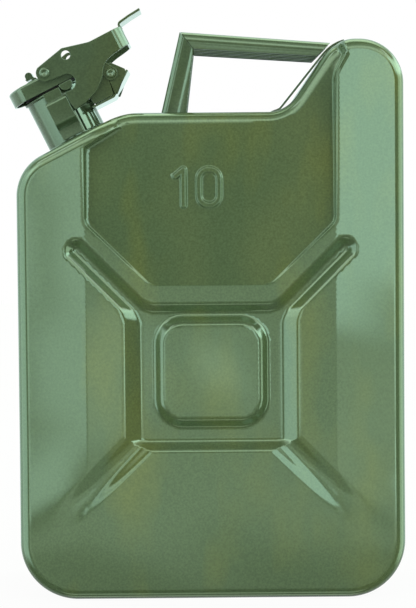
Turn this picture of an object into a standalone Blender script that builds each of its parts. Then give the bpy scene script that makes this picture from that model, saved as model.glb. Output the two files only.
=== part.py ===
"""Pressed steel jerry can for ten litres of fuel.

Two pressed half shells are welded together in a sunk seam. A slanted neck carries
the spring lever closure, and three channel handles stand on the top.
X runs to the right of the front, Y to the back and Z up. All sizes are in metres.
"""

import math

import bmesh
import bpy
from mathutils import Matrix, Vector
from mathutils.geometry import delaunay_2d_cdt

# Body

body_width = 0.268
body_depth = 0.128
flat_top_height = 0.338
hump_rise = 0.0528
hump_slope_angle = math.radians(55.5)
hump_width = 0.0808
shoulder_angle = math.radians(27.2)
shoulder_run = 0.074
can_centre_x = 0.0025
foot_corner_radius = 0.040
hump_outer_radius = 0.0305
hump_inner_radius = 0.026
hump_foot_radius = 0.024
shoulder_radius = 0.045
left_corner_radius = 0.032
edge_radius = 0.0082
sheet = 0.0011
weld_gap = 0.0003

# Sunk seam between the half shells

seam_depth = 0.006
seam_land = 0.003
seam_half_width = 0.0065
bead_radius = 0.0011
bead_sides = 6

# Pressed pattern on the face of each half shell

rail_width = 0.0474
rail_fall = 0.0024
panel_foot_drop = 0.1199
panel_foot_half_width = 0.0415
panel_side_drop = 0.0764
panel_corner_drop = 0.0242
panel_crest_x = -0.040
panel_crest_rise = 0.0044
panel_hump_low_drop = 0.027
panel_hump_inset = 0.034
panel_hump_drop = 0.0132
panel_exit_inset = 0.016
panel_exit_drop = 0.005
panel_angle = math.radians(5.6)
panel_wall = 0.0045
panel_corner_radius = 0.010
panel_tight_radius = 0.0025
press_depth = 0.0055
press_wall = 0.0072
ring_half_width = 0.0574
ring_low_z = 0.1034
ring_high_z = 0.2065
ring_corner_radius = 0.012
square_half_width = 0.033
square_half_height = 0.0323
square_centre_z = 0.1587
square_corner_radius = 0.0135
arm_half_width = 0.008
arm_floor_half_width = 0.0022
arm_start_x = 0.047
upper_arm_end_x = 0.0925
upper_arm_z = 0.1508
lower_arm_end_x = 0.096
lower_arm_z = 0.1597

# Neck, measured from the middle of its mouth

mouth_inset = 0.0220
mouth_rise = 0.0173
neck_lean = math.radians(26.4)
neck_radius = 0.0208
neck_wall = 0.0013
neck_below_mouth = 0.0435
neck_cut_overrun = 0.012
lip_radius = 0.0224
lip_height = 0.0024
lip_low_share = 0.75
lip_high_share = 0.25
collar_radius = 0.0252
collar_height = 0.0020
collar_wall = 0.0013
collar_below_mouth = 0.0385

# Breather from the mouth to the air space under the hump

breather_radius = 0.003
breather_wall = 0.0007
breather_top_drop = 0.004
breather_bend_drop = 0.054
breather_run_drop = 0.0245
breather_run_reach = 0.0570
breather_rise_reach = 0.0088
breather_end_reach = 0.0428
breather_end_drop = 0.020
breather_bend_radius = 0.015
breather_bend_step = math.radians(15)

# Closure, in a frame with its origin at the mouth: s runs towards the handles,
# n runs out along the neck, and layers are distances from the middle plane

plate = 0.0015
lever_plate = 0.0017
running_gap = 0.0003
cap_radius = 0.0293
cap_flat_layer = 0.0227
cap_low_n = 0.0011
cap_high_n = 0.0117
cap_skirt = 0.0015
cap_edge = 0.0017
cap_edge_share = 0.3
gasket_inner_radius = 0.0157
gasket_radius = 0.0204
gasket_height = 0.0033
press_plate_radius = 0.0190
press_plate_height = 0.0016
stud_radius = 0.0033
stud_head_radius = 0.0054
stud_head_height = 0.0024
head_shoulder_share = 0.8
head_crown_share = 0.4
head_shoulder_height_share = 0.7
yoke_front_s = -0.0033
yoke_rear_s = 0.0336
yoke_boss_radius = 0.0048
yoke_shoulder_s = 0.0369
yoke_shoulder_n = 0.0087
yoke_wrap_angle = math.radians(30)
lever_pivot_s = 0.0021
lever_pivot_n = 0.0125
hinge_s = 0.0435
hinge_n = -0.0087
rivet_radius = 0.0022
rivet_head_radius = 0.0038
rivet_head_height = 0.0015
hinge_pin_radius = 0.0022
hinge_head_radius = 0.0033
hinge_head_height = 0.0013
hinge_head_share = 0.7

# Lift tab curled up from the cap

tab_s = -0.0081
tab_half_width = 0.0098
tab_curl_radius = 0.0027
tab_stem_height = 0.0024
tab_base_length = 0.0108
tab_sheet = 0.0012
tab_curl_start = math.radians(-60)
tab_curl_stop = math.radians(215)
tab_curl_step = math.radians(25)

# Cam lever, side view of a cheek

lever_end_radius = 0.0061
lever_end_start = math.radians(118)
lever_end_stop = math.radians(262)
jaw_top_n = 0.0055
notch_s = 0.0132
notch_n = -0.0007
notch_radius = 0.0060
notch_mouth_share = 0.04
notch_end_angle = math.radians(-80)
claw_left_s = 0.0086
claw_tip_n = -0.0090
claw_low_s = 0.0113
claw_low_n = -0.0200
claw_taper_run = 0.0009
claw_taper_rise = 0.0035
lever_heel_s = 0.0183
lever_heel_n = -0.0192
lever_heel_bulge = 0.0017
lever_heel_share = 0.5
lever_waist_s = 0.0368
lever_waist_n = -0.0090
lever_waist_bulge = 0.0005
lever_waist_share = 0.45
lever_neck_s = 0.0518
lever_neck_n = 0.0023
lever_reach_s = 0.0647
lever_reach_n = 0.0036
lever_top_n = 0.0177
lever_apex_s = 0.0202
lever_apex_n = 0.0226
lever_brow_s = 0.0397
lever_corner_radius = 0.0081
lock_hole_s = 0.0210
lock_hole_n = 0.0169
lock_hole_radius = 0.0032
thumb_half_width = 0.0174
thumb_rise = 0.0038
thumb_run = 0.0098
thumb_reach = 0.0187
thumb_tip_rise = 0.0061

# Hinge bracket behind the neck

ear_front_s = 0.0206
ear_front_n = -0.0054
ear_low_s = 0.0232
ear_low_n = -0.0210
ear_top_s = 0.0465
ear_top_n = -0.0015
ear_rear_s = 0.0533
ear_rear_n = -0.0105
ear_heel_s = 0.0390
ear_heel_n = -0.0218
web_drop = 0.0023
saddle_half_angle = math.radians(62)
saddle_low_n = -0.0362
saddle_high_n = -0.0195

# Latch studs and keeper plates on the sides of the neck

latch_stud_s = 0.0117
latch_stud_n = -0.0004
latch_stud_radius = 0.0049
latch_stud_top_n = 0.0007
keeper_left_s = -0.0077
keeper_right_s = 0.0081
keeper_low_n = -0.0358
keeper_step_low_n = -0.0275
keeper_step_high_n = -0.0233
keeper_top_n = -0.0075
keeper_stand = 0.0042
keeper_lug_half_width = 0.0063
keeper_lug_top_n = -0.0008

# Handles

handle_spacing = 0.030
handle_half_width = 0.008
handle_sheet = 0.0014
handle_edge = 0.0032
handle_edge_share = 0.3
bar_left_x = -0.0203
bar_left_rise = 0.0567
bar_end_angle = math.radians(130.2)
bar_end_run = 0.0098
bar_end_drop = 0.0095
mitre_x = -0.0109
mitre_rise = 0.0445
post_foot_left_x = -0.0336
post_foot_right_x = -0.0162
strap_low_run = 0.0057
strap_low_rise = 0.0016
strap_foot_run = 0.0137
strap_end_angle = math.radians(100)
strap_bend_radius = 0.006

# Smoothness of round shapes

arc_step = math.radians(13)
fine_arc_step = math.radians(18)
crease_step = math.radians(30)
capsule_step = math.radians(45)
smooth_angle = math.radians(32)
outline_step = 0.034
least_run = 0.0006
turned_sides = 32
small_sides = 16
tube_sides = 10
edge_steps = 3
cut_overrun = 0.004
bend_room_share = 0.49
sharpest_bend_share = 0.2

# The camera side of the can is its front
front_side = -1
rear_side = 1
half_depth = body_depth / 2
half_width = body_width / 2

# Heights that follow the flat top, and places that follow the sides
hump_height = flat_top_height + hump_rise
shoulder_start_x = shoulder_run - half_width
hump_foot_x = half_width - hump_width
rail_inner_x = half_width - rail_width
panel_hump_x = half_width - panel_hump_inset
panel_exit_x = half_width - panel_exit_inset
strap_low_x = hump_foot_x - strap_low_run
strap_foot_x = hump_foot_x - strap_foot_run
panel_foot_z = flat_top_height - panel_foot_drop
panel_side_z = flat_top_height - panel_side_drop
panel_corner_z = flat_top_height - panel_corner_drop
mouth_x = mouth_inset - half_width
mouth_z = flat_top_height + mouth_rise

paint_green = (0.103, 0.171, 0.082, 1)
rubber_black = (0.012, 0.012, 0.013, 1)
zinc_grey = (0.33, 0.34, 0.33, 1)
enamel_roughness = 0.22
rubber_roughness = 0.7
zinc_roughness = 0.4


def clear_scene():
    for thing in list(bpy.data.objects):
        bpy.data.objects.remove(thing)


def make_finish(name, colour, roughness, metallic):
    finish = bpy.data.materials.new(name)
    finish.use_nodes = True
    shader = finish.node_tree.nodes["Principled BSDF"]
    shader.inputs["Base Color"].default_value = colour
    shader.inputs["Roughness"].default_value = roughness
    shader.inputs["Metallic"].default_value = metallic
    return finish


def paint(name):
    return make_finish(name + "_enamel", paint_green, enamel_roughness, 0)


def add_object(name, bm, finish, parent=None, matrix=None):
    """Make one object from a bmesh, with rounded faces shaded smooth."""
    mesh = bpy.data.meshes.new(name)
    bm.to_mesh(mesh)
    bm.free()
    mesh.shade_smooth()
    mesh.set_sharp_from_angle(angle=smooth_angle)
    thing = bpy.data.objects.new(name, mesh)
    bpy.context.scene.collection.objects.link(thing)
    if finish:
        mesh.materials.append(finish)
    if parent:
        thing.parent = parent
    if matrix:
        thing.matrix_local = matrix
    return thing


def add_tool(name, bm, parent=None, matrix=None):
    """Make an object that only cuts or joins other objects."""
    tool = add_object(name, bm, None, parent, matrix)
    tool.hide_render = True
    tool.display_type = "WIRE"
    return tool


def combine(target, tool, operation):
    step = target.modifiers.new(tool.name, "BOOLEAN")
    step.operation = operation
    step.solver = "EXACT"
    step.object = tool


def loft(rings, closed=False):
    """Skin a list of rings of points; the two end rings are filled unless closed."""
    bm = bmesh.new()
    rows = [[bm.verts.new(point) for point in ring] for ring in rings]
    count = len(rings[0])
    pairs = list(zip(rows, rows[1:]))
    if closed:
        pairs.append((rows[-1], rows[0]))
    for low, high in pairs:
        for i in range(count):
            j = (i + 1) % count
            bm.faces.new((low[i], low[j], high[j], high[i]))
    if not closed:
        bm.faces.new(list(reversed(rows[0])))
        bm.faces.new(rows[-1])
    bmesh.ops.recalc_face_normals(bm, faces=bm.faces)
    return bm


def turned(profile, sides, axis="Z", centre=(0, 0, 0), closed=False):
    """Turn (radius, height) points round an axis through centre."""
    rings = []
    for radius, height in profile:
        ring = []
        for i in range(sides):
            angle = math.tau * i / sides
            across, up = radius * math.cos(angle), radius * math.sin(angle)
            offset = (across, up, height) if axis == "Z" else (across, height, up)
            ring.append(Vector(centre) + Vector(offset))
        rings.append(ring)
    return loft(rings, closed)


def slab(outline, low, high):
    """Extrude an outline of (x, z) points between two depths along Y."""
    rings = [[Vector((x, y, z)) for x, z in outline] for y in (low, high)]
    return loft(rings)


def layer_slab(outline, inner, outer, side):
    """Extrude an outline between two layers on one side of the middle plane."""
    return slab(outline, side * inner, side * outer)


def arc(centre, radius, start, end, step=fine_arc_step):
    count = max(1, math.ceil(abs(end - start) / step))
    angles = [start + (end - start) * i / count for i in range(count + 1)]
    return [
        (centre[0] + radius * math.cos(a), centre[1] + radius * math.sin(a)) for a in angles
    ]


def rounded_outline(corners, step=arc_step, straight_step=None):
    """Walk round (x, z, radius) corners; gives points with their outward normals."""
    walk = []
    count = len(corners)
    for i in range(count):
        before = Vector(corners[i - 1][:2])
        corner = Vector(corners[i][:2])
        after = Vector(corners[(i + 1) % count][:2])
        radius = corners[i][2]
        way_in = (corner - before).normalized()
        way_out = (after - corner).normalized()
        turn = math.atan2(way_in.cross(way_out), way_in.dot(way_out))
        bend = 1 if turn > 0 else -1
        normal = Vector((way_in.y, -way_in.x))
        start = corner - way_in * (radius * math.tan(abs(turn) / 2))
        centre = start - normal * (radius * bend)
        steps = max(1, math.ceil(abs(turn) / step))
        for k in range(steps + 1):
            spin = Matrix.Rotation(turn * k / steps, 2)
            outward = spin @ normal
            walk.append((centre + outward * (radius * bend), outward))
    spaced = [walk[0]]
    for point, normal in walk[1:]:
        if (point - spaced[-1][0]).length > least_run:
            spaced.append((point, normal))
    walk = spaced
    if not straight_step:
        return walk
    filled = []
    for (point, normal), (ahead, _) in zip(walk, walk[1:] + walk[:1]):
        parts = max(1, round((ahead - point).length / straight_step))
        filled.append((point, normal))
        for k in range(1, parts):
            filled.append((point.lerp(ahead, k / parts), normal))
    return filled


def sheet_path(points, thickness):
    """Outline of a bent sheet whose inner face follows the points, to their left."""
    left, right = [], []
    count = len(points)
    for i, point in enumerate(points):
        here = Vector(point)
        way_in = (here - Vector(points[i - 1])).normalized() if i else None
        way_out = (Vector(points[i + 1]) - here).normalized() if i < count - 1 else None
        way_in = way_in or way_out
        way_out = way_out or way_in
        middle = (way_in + way_out).normalized()
        side = Vector((middle.y, -middle.x))
        reach = thickness / max(sharpest_bend_share, side.dot(Vector((way_in.y, -way_in.x))))
        left.append(here)
        right.append(here + side * reach)
    return [tuple(p) for p in left] + [tuple(p) for p in reversed(right)]


def smooth_bends(points, radius, step=fine_arc_step):
    """Round the inner corners of an open path of (x, z) points."""
    path = [tuple(points[0])]
    for before, corner, after in zip(points, points[1:], points[2:]):
        before, corner, after = Vector(before), Vector(corner), Vector(after)
        way_in = (corner - before).normalized()
        way_out = (after - corner).normalized()
        turn = math.atan2(way_in.cross(way_out), way_in.dot(way_out))
        bend = 1 if turn > 0 else -1
        room = min((corner - before).length, (after - corner).length) * bend_room_share
        tangent = min(radius * math.tan(abs(turn) / 2), room)
        real_radius = tangent / math.tan(abs(turn) / 2)
        start = corner - way_in * tangent
        normal = Vector((way_in.y, -way_in.x))
        centre = start - normal * (real_radius * bend)
        steps = max(1, math.ceil(abs(turn) / step))
        for k in range(steps + 1):
            outward = Matrix.Rotation(turn * k / steps, 2) @ normal
            path.append(tuple(centre + outward * (real_radius * bend)))
    path.append(tuple(points[-1]))
    return path


def tube_along(points, outer, inner, sides):
    """Open ended tube with a bore along a path of 3D points."""
    frames = []
    up = Vector((0, 1, 0))
    for i, point in enumerate(points):
        before = points[max(0, i - 1)]
        after = points[min(len(points) - 1, i + 1)]
        ahead = (after - before).normalized()
        across = ahead.cross(up).normalized()
        frames.append((point, across, across.cross(ahead).normalized()))

    def ring(frame, radius):
        point, across, over = frame
        angles = [math.tau * i / sides for i in range(sides)]
        return [point + (across * math.cos(a) + over * math.sin(a)) * radius for a in angles]

    rings = [ring(frame, outer) for frame in frames]
    rings += [ring(frame, inner) for frame in reversed(frames)]
    return loft(rings, closed=True)


# Body outline, from the lower left corner anticlockwise as seen from the front

hump_left_x = hump_foot_x + (hump_height - flat_top_height) / math.tan(hump_slope_angle)
left_corner_z = flat_top_height - shoulder_run * math.tan(shoulder_angle)

body_corners = [
    (-half_width, 0, foot_corner_radius),
    (half_width, 0, foot_corner_radius),
    (half_width, hump_height, hump_outer_radius),
    (hump_left_x, hump_height, hump_inner_radius),
    (hump_foot_x, flat_top_height, hump_foot_radius),
    (shoulder_start_x, flat_top_height, shoulder_radius),
    (-half_width, left_corner_z, left_corner_radius),
]

panel_top_z = hump_height + edge_radius
panel_corners = [
    (-rail_inner_x, panel_corner_z, panel_tight_radius),
    (-rail_inner_x, panel_side_z, panel_corner_radius),
    (-panel_foot_half_width, panel_foot_z, panel_corner_radius),
    (panel_foot_half_width, panel_foot_z, panel_corner_radius),
    (rail_inner_x, panel_side_z, panel_corner_radius),
    (rail_inner_x, hump_height - panel_hump_low_drop, panel_corner_radius),
    (panel_hump_x, hump_height - panel_hump_drop, panel_corner_radius),
    (panel_exit_x, hump_height - panel_exit_drop, panel_tight_radius),
    (panel_exit_x, panel_top_z, panel_tight_radius),
    (panel_crest_x, panel_top_z, panel_tight_radius),
    (panel_crest_x, flat_top_height + panel_crest_rise, panel_tight_radius),
]


def inside(point, polygon):
    hit = False
    x, z = point
    for (x1, z1), (x2, z2) in zip(polygon, polygon[1:] + polygon[:1]):
        if (z1 > z) != (z2 > z) and x < (x2 - x1) * (z - z1) / (z2 - z1) + x1:
            hit = not hit
    return hit


def distance_to_run(point, start, end):
    """Distance from a point to a straight run, and the share of the run passed."""
    run = end - start
    share = max(0, min(1, (point - start).dot(run) / run.length_squared))
    return (point - start - run * share).length, share


def ramp(value, start, end):
    return max(0, min(1, (value - start) / (end - start)))


def box_distance(point, centre_z, half_x, half_z, radius):
    """Signed distance to a rounded rectangle about (0, centre_z)."""
    across = abs(point.x) - half_x + radius
    up = abs(point.y - centre_z) - half_z + radius
    outer = Vector((max(across, 0), max(up, 0))).length
    return outer + min(max(across, up), 0) - radius


def arm_runs():
    """Middle lines of the four pressed arms, with True for those that fade out."""
    runs = []
    for side in (-1, 1):
        high = [Vector((side * x, upper_arm_z + x)) for x in (arm_start_x, upper_arm_end_x)]
        low = [Vector((side * x, lower_arm_z - x)) for x in (arm_start_x, lower_arm_end_x)]
        runs += [(high[0], high[1], False), (low[0], low[1], True)]
    return runs


ring_centre_z = (ring_low_z + ring_high_z) / 2
ring_half_height = (ring_high_z - ring_low_z) / 2
panel_line = [tuple(point) for point, _ in rounded_outline(panel_corners, fine_arc_step)]


def panel_edge_distance(point):
    runs = zip(panel_line, panel_line[1:] + panel_line[:1])
    return min(distance_to_run(point, Vector(a), Vector(b))[0] for a, b in runs)


def face_depth(point):
    """How far the pressed face lies behind the front plane of the shell."""
    fall = rail_fall * max(0, abs(point.x) - rail_inner_x) / rail_width
    outer = ramp(-box_distance(point, ring_centre_z, ring_half_width, ring_half_height,
                               ring_corner_radius), 0, press_wall)
    inner = ramp(box_distance(point, square_centre_z, square_half_width, square_half_height,
                              square_corner_radius), 0, press_wall)
    pressed = min(outer, inner)
    for start, end, fades in arm_runs():
        gap, share = distance_to_run(point, start, end)
        arm = 1 - ramp(gap, arm_floor_half_width, arm_half_width)
        pressed = max(pressed, arm * (1 - share) if fades else arm)
    sunk = 0
    if inside(point, panel_line):
        full = max(0, point.y - panel_foot_z) * math.tan(panel_angle)
        sunk = full * ramp(panel_edge_distance(point), 0, panel_wall)
        fall = 0
    return fall + press_depth * pressed + sunk


def grown_box(centre_z, half_x, half_z, radius, grow):
    round_radius = radius + grow
    corners = [
        (-half_x - grow, centre_z - half_z - grow, round_radius),
        (half_x + grow, centre_z - half_z - grow, round_radius),
        (half_x + grow, centre_z + half_z + grow, round_radius),
        (-half_x - grow, centre_z + half_z + grow, round_radius),
    ]
    return [point for point, _ in rounded_outline(corners, crease_step)]


def capsule(start, end, radius):
    ahead = (end - start).normalized()
    heading = math.atan2(ahead.y, ahead.x)
    quarter = math.pi / 2
    back = arc(start, radius, heading + quarter, heading + 3 * quarter, capsule_step)
    front = arc(end, radius, heading - quarter, heading + quarter, capsule_step)
    return [Vector(p) for p in back + front]


def crease_loops():
    """Lines on the face along which its slope changes."""
    loops = []
    for grow in (0, -press_wall):
        loops.append(grown_box(ring_centre_z, ring_half_width, ring_half_height,
                               ring_corner_radius, grow))
    for grow in (0, press_wall):
        loops.append(grown_box(square_centre_z, square_half_width, square_half_height,
                               square_corner_radius, grow))
    for start, end, fades in arm_runs():
        loops.append(capsule(start, end, arm_half_width))
        loops.append(capsule(start, end, arm_floor_half_width))
    walk = rounded_outline(panel_corners, fine_arc_step)
    loops.append([point for point, _ in walk])
    loops.append([point - normal * panel_wall for point, normal in walk])
    return loops


def face_layout():
    """Plan of the pressed face: its points, its triangles and the rim that bounds it."""
    walk = rounded_outline(body_corners, arc_step, outline_step)
    rim = [point - normal * edge_radius for point, normal in walk]
    points = list(rim)
    edges = [(i, (i + 1) % len(rim)) for i in range(len(rim))]
    for loop in crease_loops():
        first = len(points)
        points += loop
        edges += [(first + i, first + (i + 1) % len(loop)) for i in range(len(loop))]
    for x in (-rail_inner_x, rail_inner_x):
        edges.append((len(points), len(points) + 1))
        points += [Vector((x, 0)), Vector((x, panel_side_z))]
    flat, _, faces = delaunay_2d_cdt(points, edges, [], 0, weld_gap)[:3]
    polygon = [tuple(point) for point in rim]
    kept = []
    for face in faces:
        middle = sum((flat[i] for i in face), Vector((0, 0))) / 3
        if inside(middle, polygon):
            kept.append(tuple(face))
    return flat, kept, walk, rim


def border_edges(faces):
    """Edges that only one face uses."""
    uses = {}
    for face in faces:
        for a, b in zip(face, face[1:] + face[:1]):
            key = (min(a, b), max(a, b))
            uses[key] = uses.get(key, 0) + 1
    return [key for key, count in uses.items() if count == 1]


def edge_column(place, face_y, walk, rim, side, wall):
    """Points from a rim place over the rounded edge and down to the seam."""
    best = min(range(len(rim)),
               key=lambda i: distance_to_run(place, rim[i], rim[(i + 1) % len(rim)])[0])
    ahead = (best + 1) % len(rim)
    share = distance_to_run(place, rim[best], rim[ahead])[1]
    radius = edge_radius - wall
    stops = []
    for k in range(1, edge_steps + 1):
        angle = math.pi / 2 * k / edge_steps
        stops.append((edge_radius - radius * math.sin(angle),
                      face_y - radius * (1 - math.cos(angle))))
    step_y = wall / 2
    stops += [(wall, seam_half_width + step_y), (seam_depth + wall, seam_land + step_y),
              (seam_depth + wall, weld_gap / 2)]
    column = []
    for offset, depth in stops:
        first = walk[best][0] - walk[best][1] * offset
        second = walk[ahead][0] - walk[ahead][1] * offset
        spot = first.lerp(second, share)
        column.append(Vector((spot.x, side * depth, spot.y)))
    return column


def shell_mesh(side):
    """One pressed half shell: outer and inner skin, joined at the seam."""
    flat, kept, walk, rim = face_layout()
    border = border_edges(kept)
    used = {i for face in kept for i in face}
    depths = {i: half_depth - face_depth(flat[i]) for i in used}
    bm = bmesh.new()
    seams = []
    for wall in (0, sheet):
        verts = {
            i: bm.verts.new((flat[i].x, side * (depths[i] - wall), flat[i].y)) for i in used
        }
        for face in kept:
            bm.faces.new([verts[i] for i in face])
        columns = {}
        for i in {i for edge in border for i in edge}:
            spots = edge_column(flat[i], depths[i] - wall, walk, rim, side, wall)
            columns[i] = [verts[i]] + [bm.verts.new(spot) for spot in spots]
        for i, j in border:
            first, second = columns[i], columns[j]
            for a, b, c, d in zip(first, first[1:], second, second[1:]):
                bm.faces.new((a, b, d, c))
        seams.append({i: column[-1] for i, column in columns.items()})
    outer, inner = seams
    for i, j in border:
        bm.faces.new((outer[i], outer[j], inner[j], inner[i]))
    bmesh.ops.recalc_face_normals(bm, faces=bm.faces)
    return bm


def make_shells(can_matrix, neck_matrix):
    hole = turned([(neck_radius + weld_gap, -neck_below_mouth - neck_cut_overrun),
                   (neck_radius + weld_gap, cut_overrun)], turned_sides)
    hole_tool = add_tool("neck_hole_cutter", hole, None, neck_matrix)
    for name, side in (("front_shell", front_side), ("rear_shell", rear_side)):
        shell = add_object(name, shell_mesh(side), paint(name), None, can_matrix)
        combine(shell, hole_tool, "DIFFERENCE")


def make_seam_bead(can_matrix, neck_matrix):
    walk = rounded_outline(body_corners, arc_step, outline_step)
    offset = seam_depth - weld_gap - bead_radius
    rings = []
    for point, normal in walk:
        centre = point - normal * offset
        ring = []
        for i in range(bead_sides):
            angle = math.tau * i / bead_sides
            out = normal * (bead_radius * math.cos(angle))
            along_y = bead_radius * math.sin(angle)
            ring.append(Vector((centre.x + out.x, along_y, centre.y + out.y)))
        rings.append(ring)
    bead = add_object("seam_bead", loft(rings, True), paint("seam_bead"), None, can_matrix)
    room = collar_radius + weld_gap
    tool = add_tool("bead_gap_cutter", turned(
        [(room, -neck_below_mouth - neck_cut_overrun), (room, cut_overrun)], turned_sides),
        None, neck_matrix)
    combine(bead, tool, "DIFFERENCE")


def make_neck(neck_matrix):
    bore = neck_radius - neck_wall
    profile = [
        (bore, -neck_below_mouth), (neck_radius, -neck_below_mouth),
        (neck_radius, -lip_height), (lip_radius, -lip_height * lip_low_share),
        (lip_radius, -lip_height * lip_high_share), (neck_radius, 0), (bore, 0),
    ]
    add_object("neck_tube", turned(profile, turned_sides, closed=True), paint("neck_tube"),
               None, neck_matrix)
    inner = neck_radius + weld_gap
    low = -collar_below_mouth
    profile = [
        (inner, low), (collar_radius, low), (collar_radius - collar_wall, low + collar_height / 2),
        (inner + collar_wall, low + collar_height), (inner, low + collar_height),
    ]
    add_object("neck_collar", turned(profile, turned_sides, closed=True), paint("neck_collar"),
               None, neck_matrix)


def make_breather(neck_matrix):
    """Vent pipe inside the neck, bent under the top and up into the hump."""
    reach = neck_radius - neck_wall - breather_radius - weld_gap
    top = neck_matrix @ Vector((reach, 0, -breather_top_drop))
    bend = neck_matrix @ Vector((reach, 0, -breather_bend_drop))
    hump_x = can_centre_x + hump_foot_x
    run_z = flat_top_height - breather_run_drop
    route = [(top.x, top.z), (bend.x, bend.z),
             (can_centre_x + mouth_x + breather_run_reach, run_z),
             (hump_x + breather_rise_reach, run_z),
             (hump_x + breather_end_reach, hump_height - breather_end_drop)]
    flat = smooth_bends(route, breather_bend_radius, breather_bend_step)
    points = [Vector((x, 0, z)) for x, z in flat]
    pipe = tube_along(points, breather_radius, breather_radius - breather_wall, tube_sides)
    add_object("breather_tube", pipe, make_finish("breather_zinc", zinc_grey, zinc_roughness, 1))


def cap_outline(grow):
    """Round cap with two flats beside the lever cheeks."""
    radius = cap_radius + grow
    flat = cap_flat_layer + grow
    reach = math.asin(flat / radius)
    right = arc((0, 0), radius, -reach, reach, arc_step)
    left = arc((0, 0), radius, math.pi - reach, math.pi + reach, arc_step)
    return right + left


def cap_ring(grow, height, centre):
    return [Vector((x, y, height)) - centre for x, y in cap_outline(grow)]


def domed_head(radius, start, height):
    """Profile of a rivet head that rises by height from start."""
    return [
        (radius, start),
        (radius * head_shoulder_share, start + height * head_shoulder_height_share),
        (radius * head_crown_share, start + height),
    ]


def make_cap(hinge, centre):
    under = cap_high_n - cap_skirt
    bite = cap_edge * cap_edge_share
    rings = [
        cap_ring(-cap_skirt, under, centre), cap_ring(-cap_skirt, cap_low_n, centre),
        cap_ring(0, cap_low_n, centre), cap_ring(0, cap_high_n - cap_edge, centre),
        cap_ring(-bite, cap_high_n - bite, centre),
        cap_ring(-cap_edge, cap_high_n, centre),
    ]
    cap = add_object("cap", loft(rings), paint("cap"), hinge)
    hole_radius = stud_radius + running_gap
    hole = turned([(hole_radius, under - cut_overrun), (hole_radius, cap_high_n + cut_overrun)],
                  small_sides, centre=Vector((lever_pivot_s, 0, 0)) - centre)
    combine(cap, add_tool("cap_hole_cutter", hole, hinge), "DIFFERENCE")

    low = weld_gap
    high = low + gasket_height
    ring = [(gasket_inner_radius, low), (gasket_radius, low), (gasket_radius, high),
            (gasket_inner_radius, high)]
    add_object("cap_gasket", turned(ring, turned_sides, centre=-centre, closed=True),
               make_finish("gasket_rubber", rubber_black, rubber_roughness, 0), hinge)

    plate_low = high + weld_gap
    plate_high = plate_low + press_plate_height
    add_object("press_plate", turned([(press_plate_radius, plate_low),
                                      (press_plate_radius, plate_high)],
                                     turned_sides, centre=-centre),
               make_finish("press_plate_zinc", zinc_grey, zinc_roughness, 1), hinge)

    yoke_top = cap_high_n + running_gap + plate
    head_low = yoke_top + running_gap
    profile = [
        (stud_radius, plate_high + weld_gap), (stud_radius, head_low),
    ] + domed_head(stud_head_radius, head_low, stud_head_height)
    add_object("cap_stud", turned(profile, small_sides,
                                  centre=Vector((lever_pivot_s, 0, 0)) - centre),
               paint("cap_stud"), hinge)


def make_lift_tab(hinge, centre):
    """Tab bent up from the cap top and curled over to the left."""
    base_n = cap_high_n + weld_gap
    curl_n = base_n + tab_stem_height + tab_sheet + tab_curl_radius
    curl = arc((tab_s, curl_n), tab_curl_radius + tab_sheet,
               tab_curl_start, tab_curl_stop, tab_curl_step)
    stem = [(tab_s - tab_base_length / 2, base_n + tab_sheet),
            (tab_s + tab_curl_radius, base_n + tab_sheet)]
    outline = sheet_path(stem + curl, tab_sheet)
    shifted = [(s - centre.x, n - centre.z) for s, n in outline]
    add_object("cap_lift_tab", slab(shifted, -tab_half_width, tab_half_width),
               paint("cap_lift_tab"), hinge)


def yoke_arm_outline():
    pivot = (lever_pivot_s, lever_pivot_n)
    hinge = (hinge_s, hinge_n)
    quarter = math.pi / 2
    front = arc(pivot, yoke_boss_radius, quarter, 3 * quarter)
    rear = arc(hinge, yoke_boss_radius, math.pi, math.tau + yoke_wrap_angle)
    low_n = lever_pivot_n - yoke_boss_radius
    top_n = cap_high_n + running_gap + plate
    return front + [(yoke_rear_s - 2 * yoke_boss_radius, low_n)] + rear + [
        (yoke_shoulder_s, yoke_shoulder_n + yoke_boss_radius / 2), (yoke_rear_s, top_n),
        (lever_pivot_s + 2 * yoke_boss_radius, top_n),
    ]


def moved(outline, centre):
    return [(s - centre.x, n - centre.z) for s, n in outline]


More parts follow.
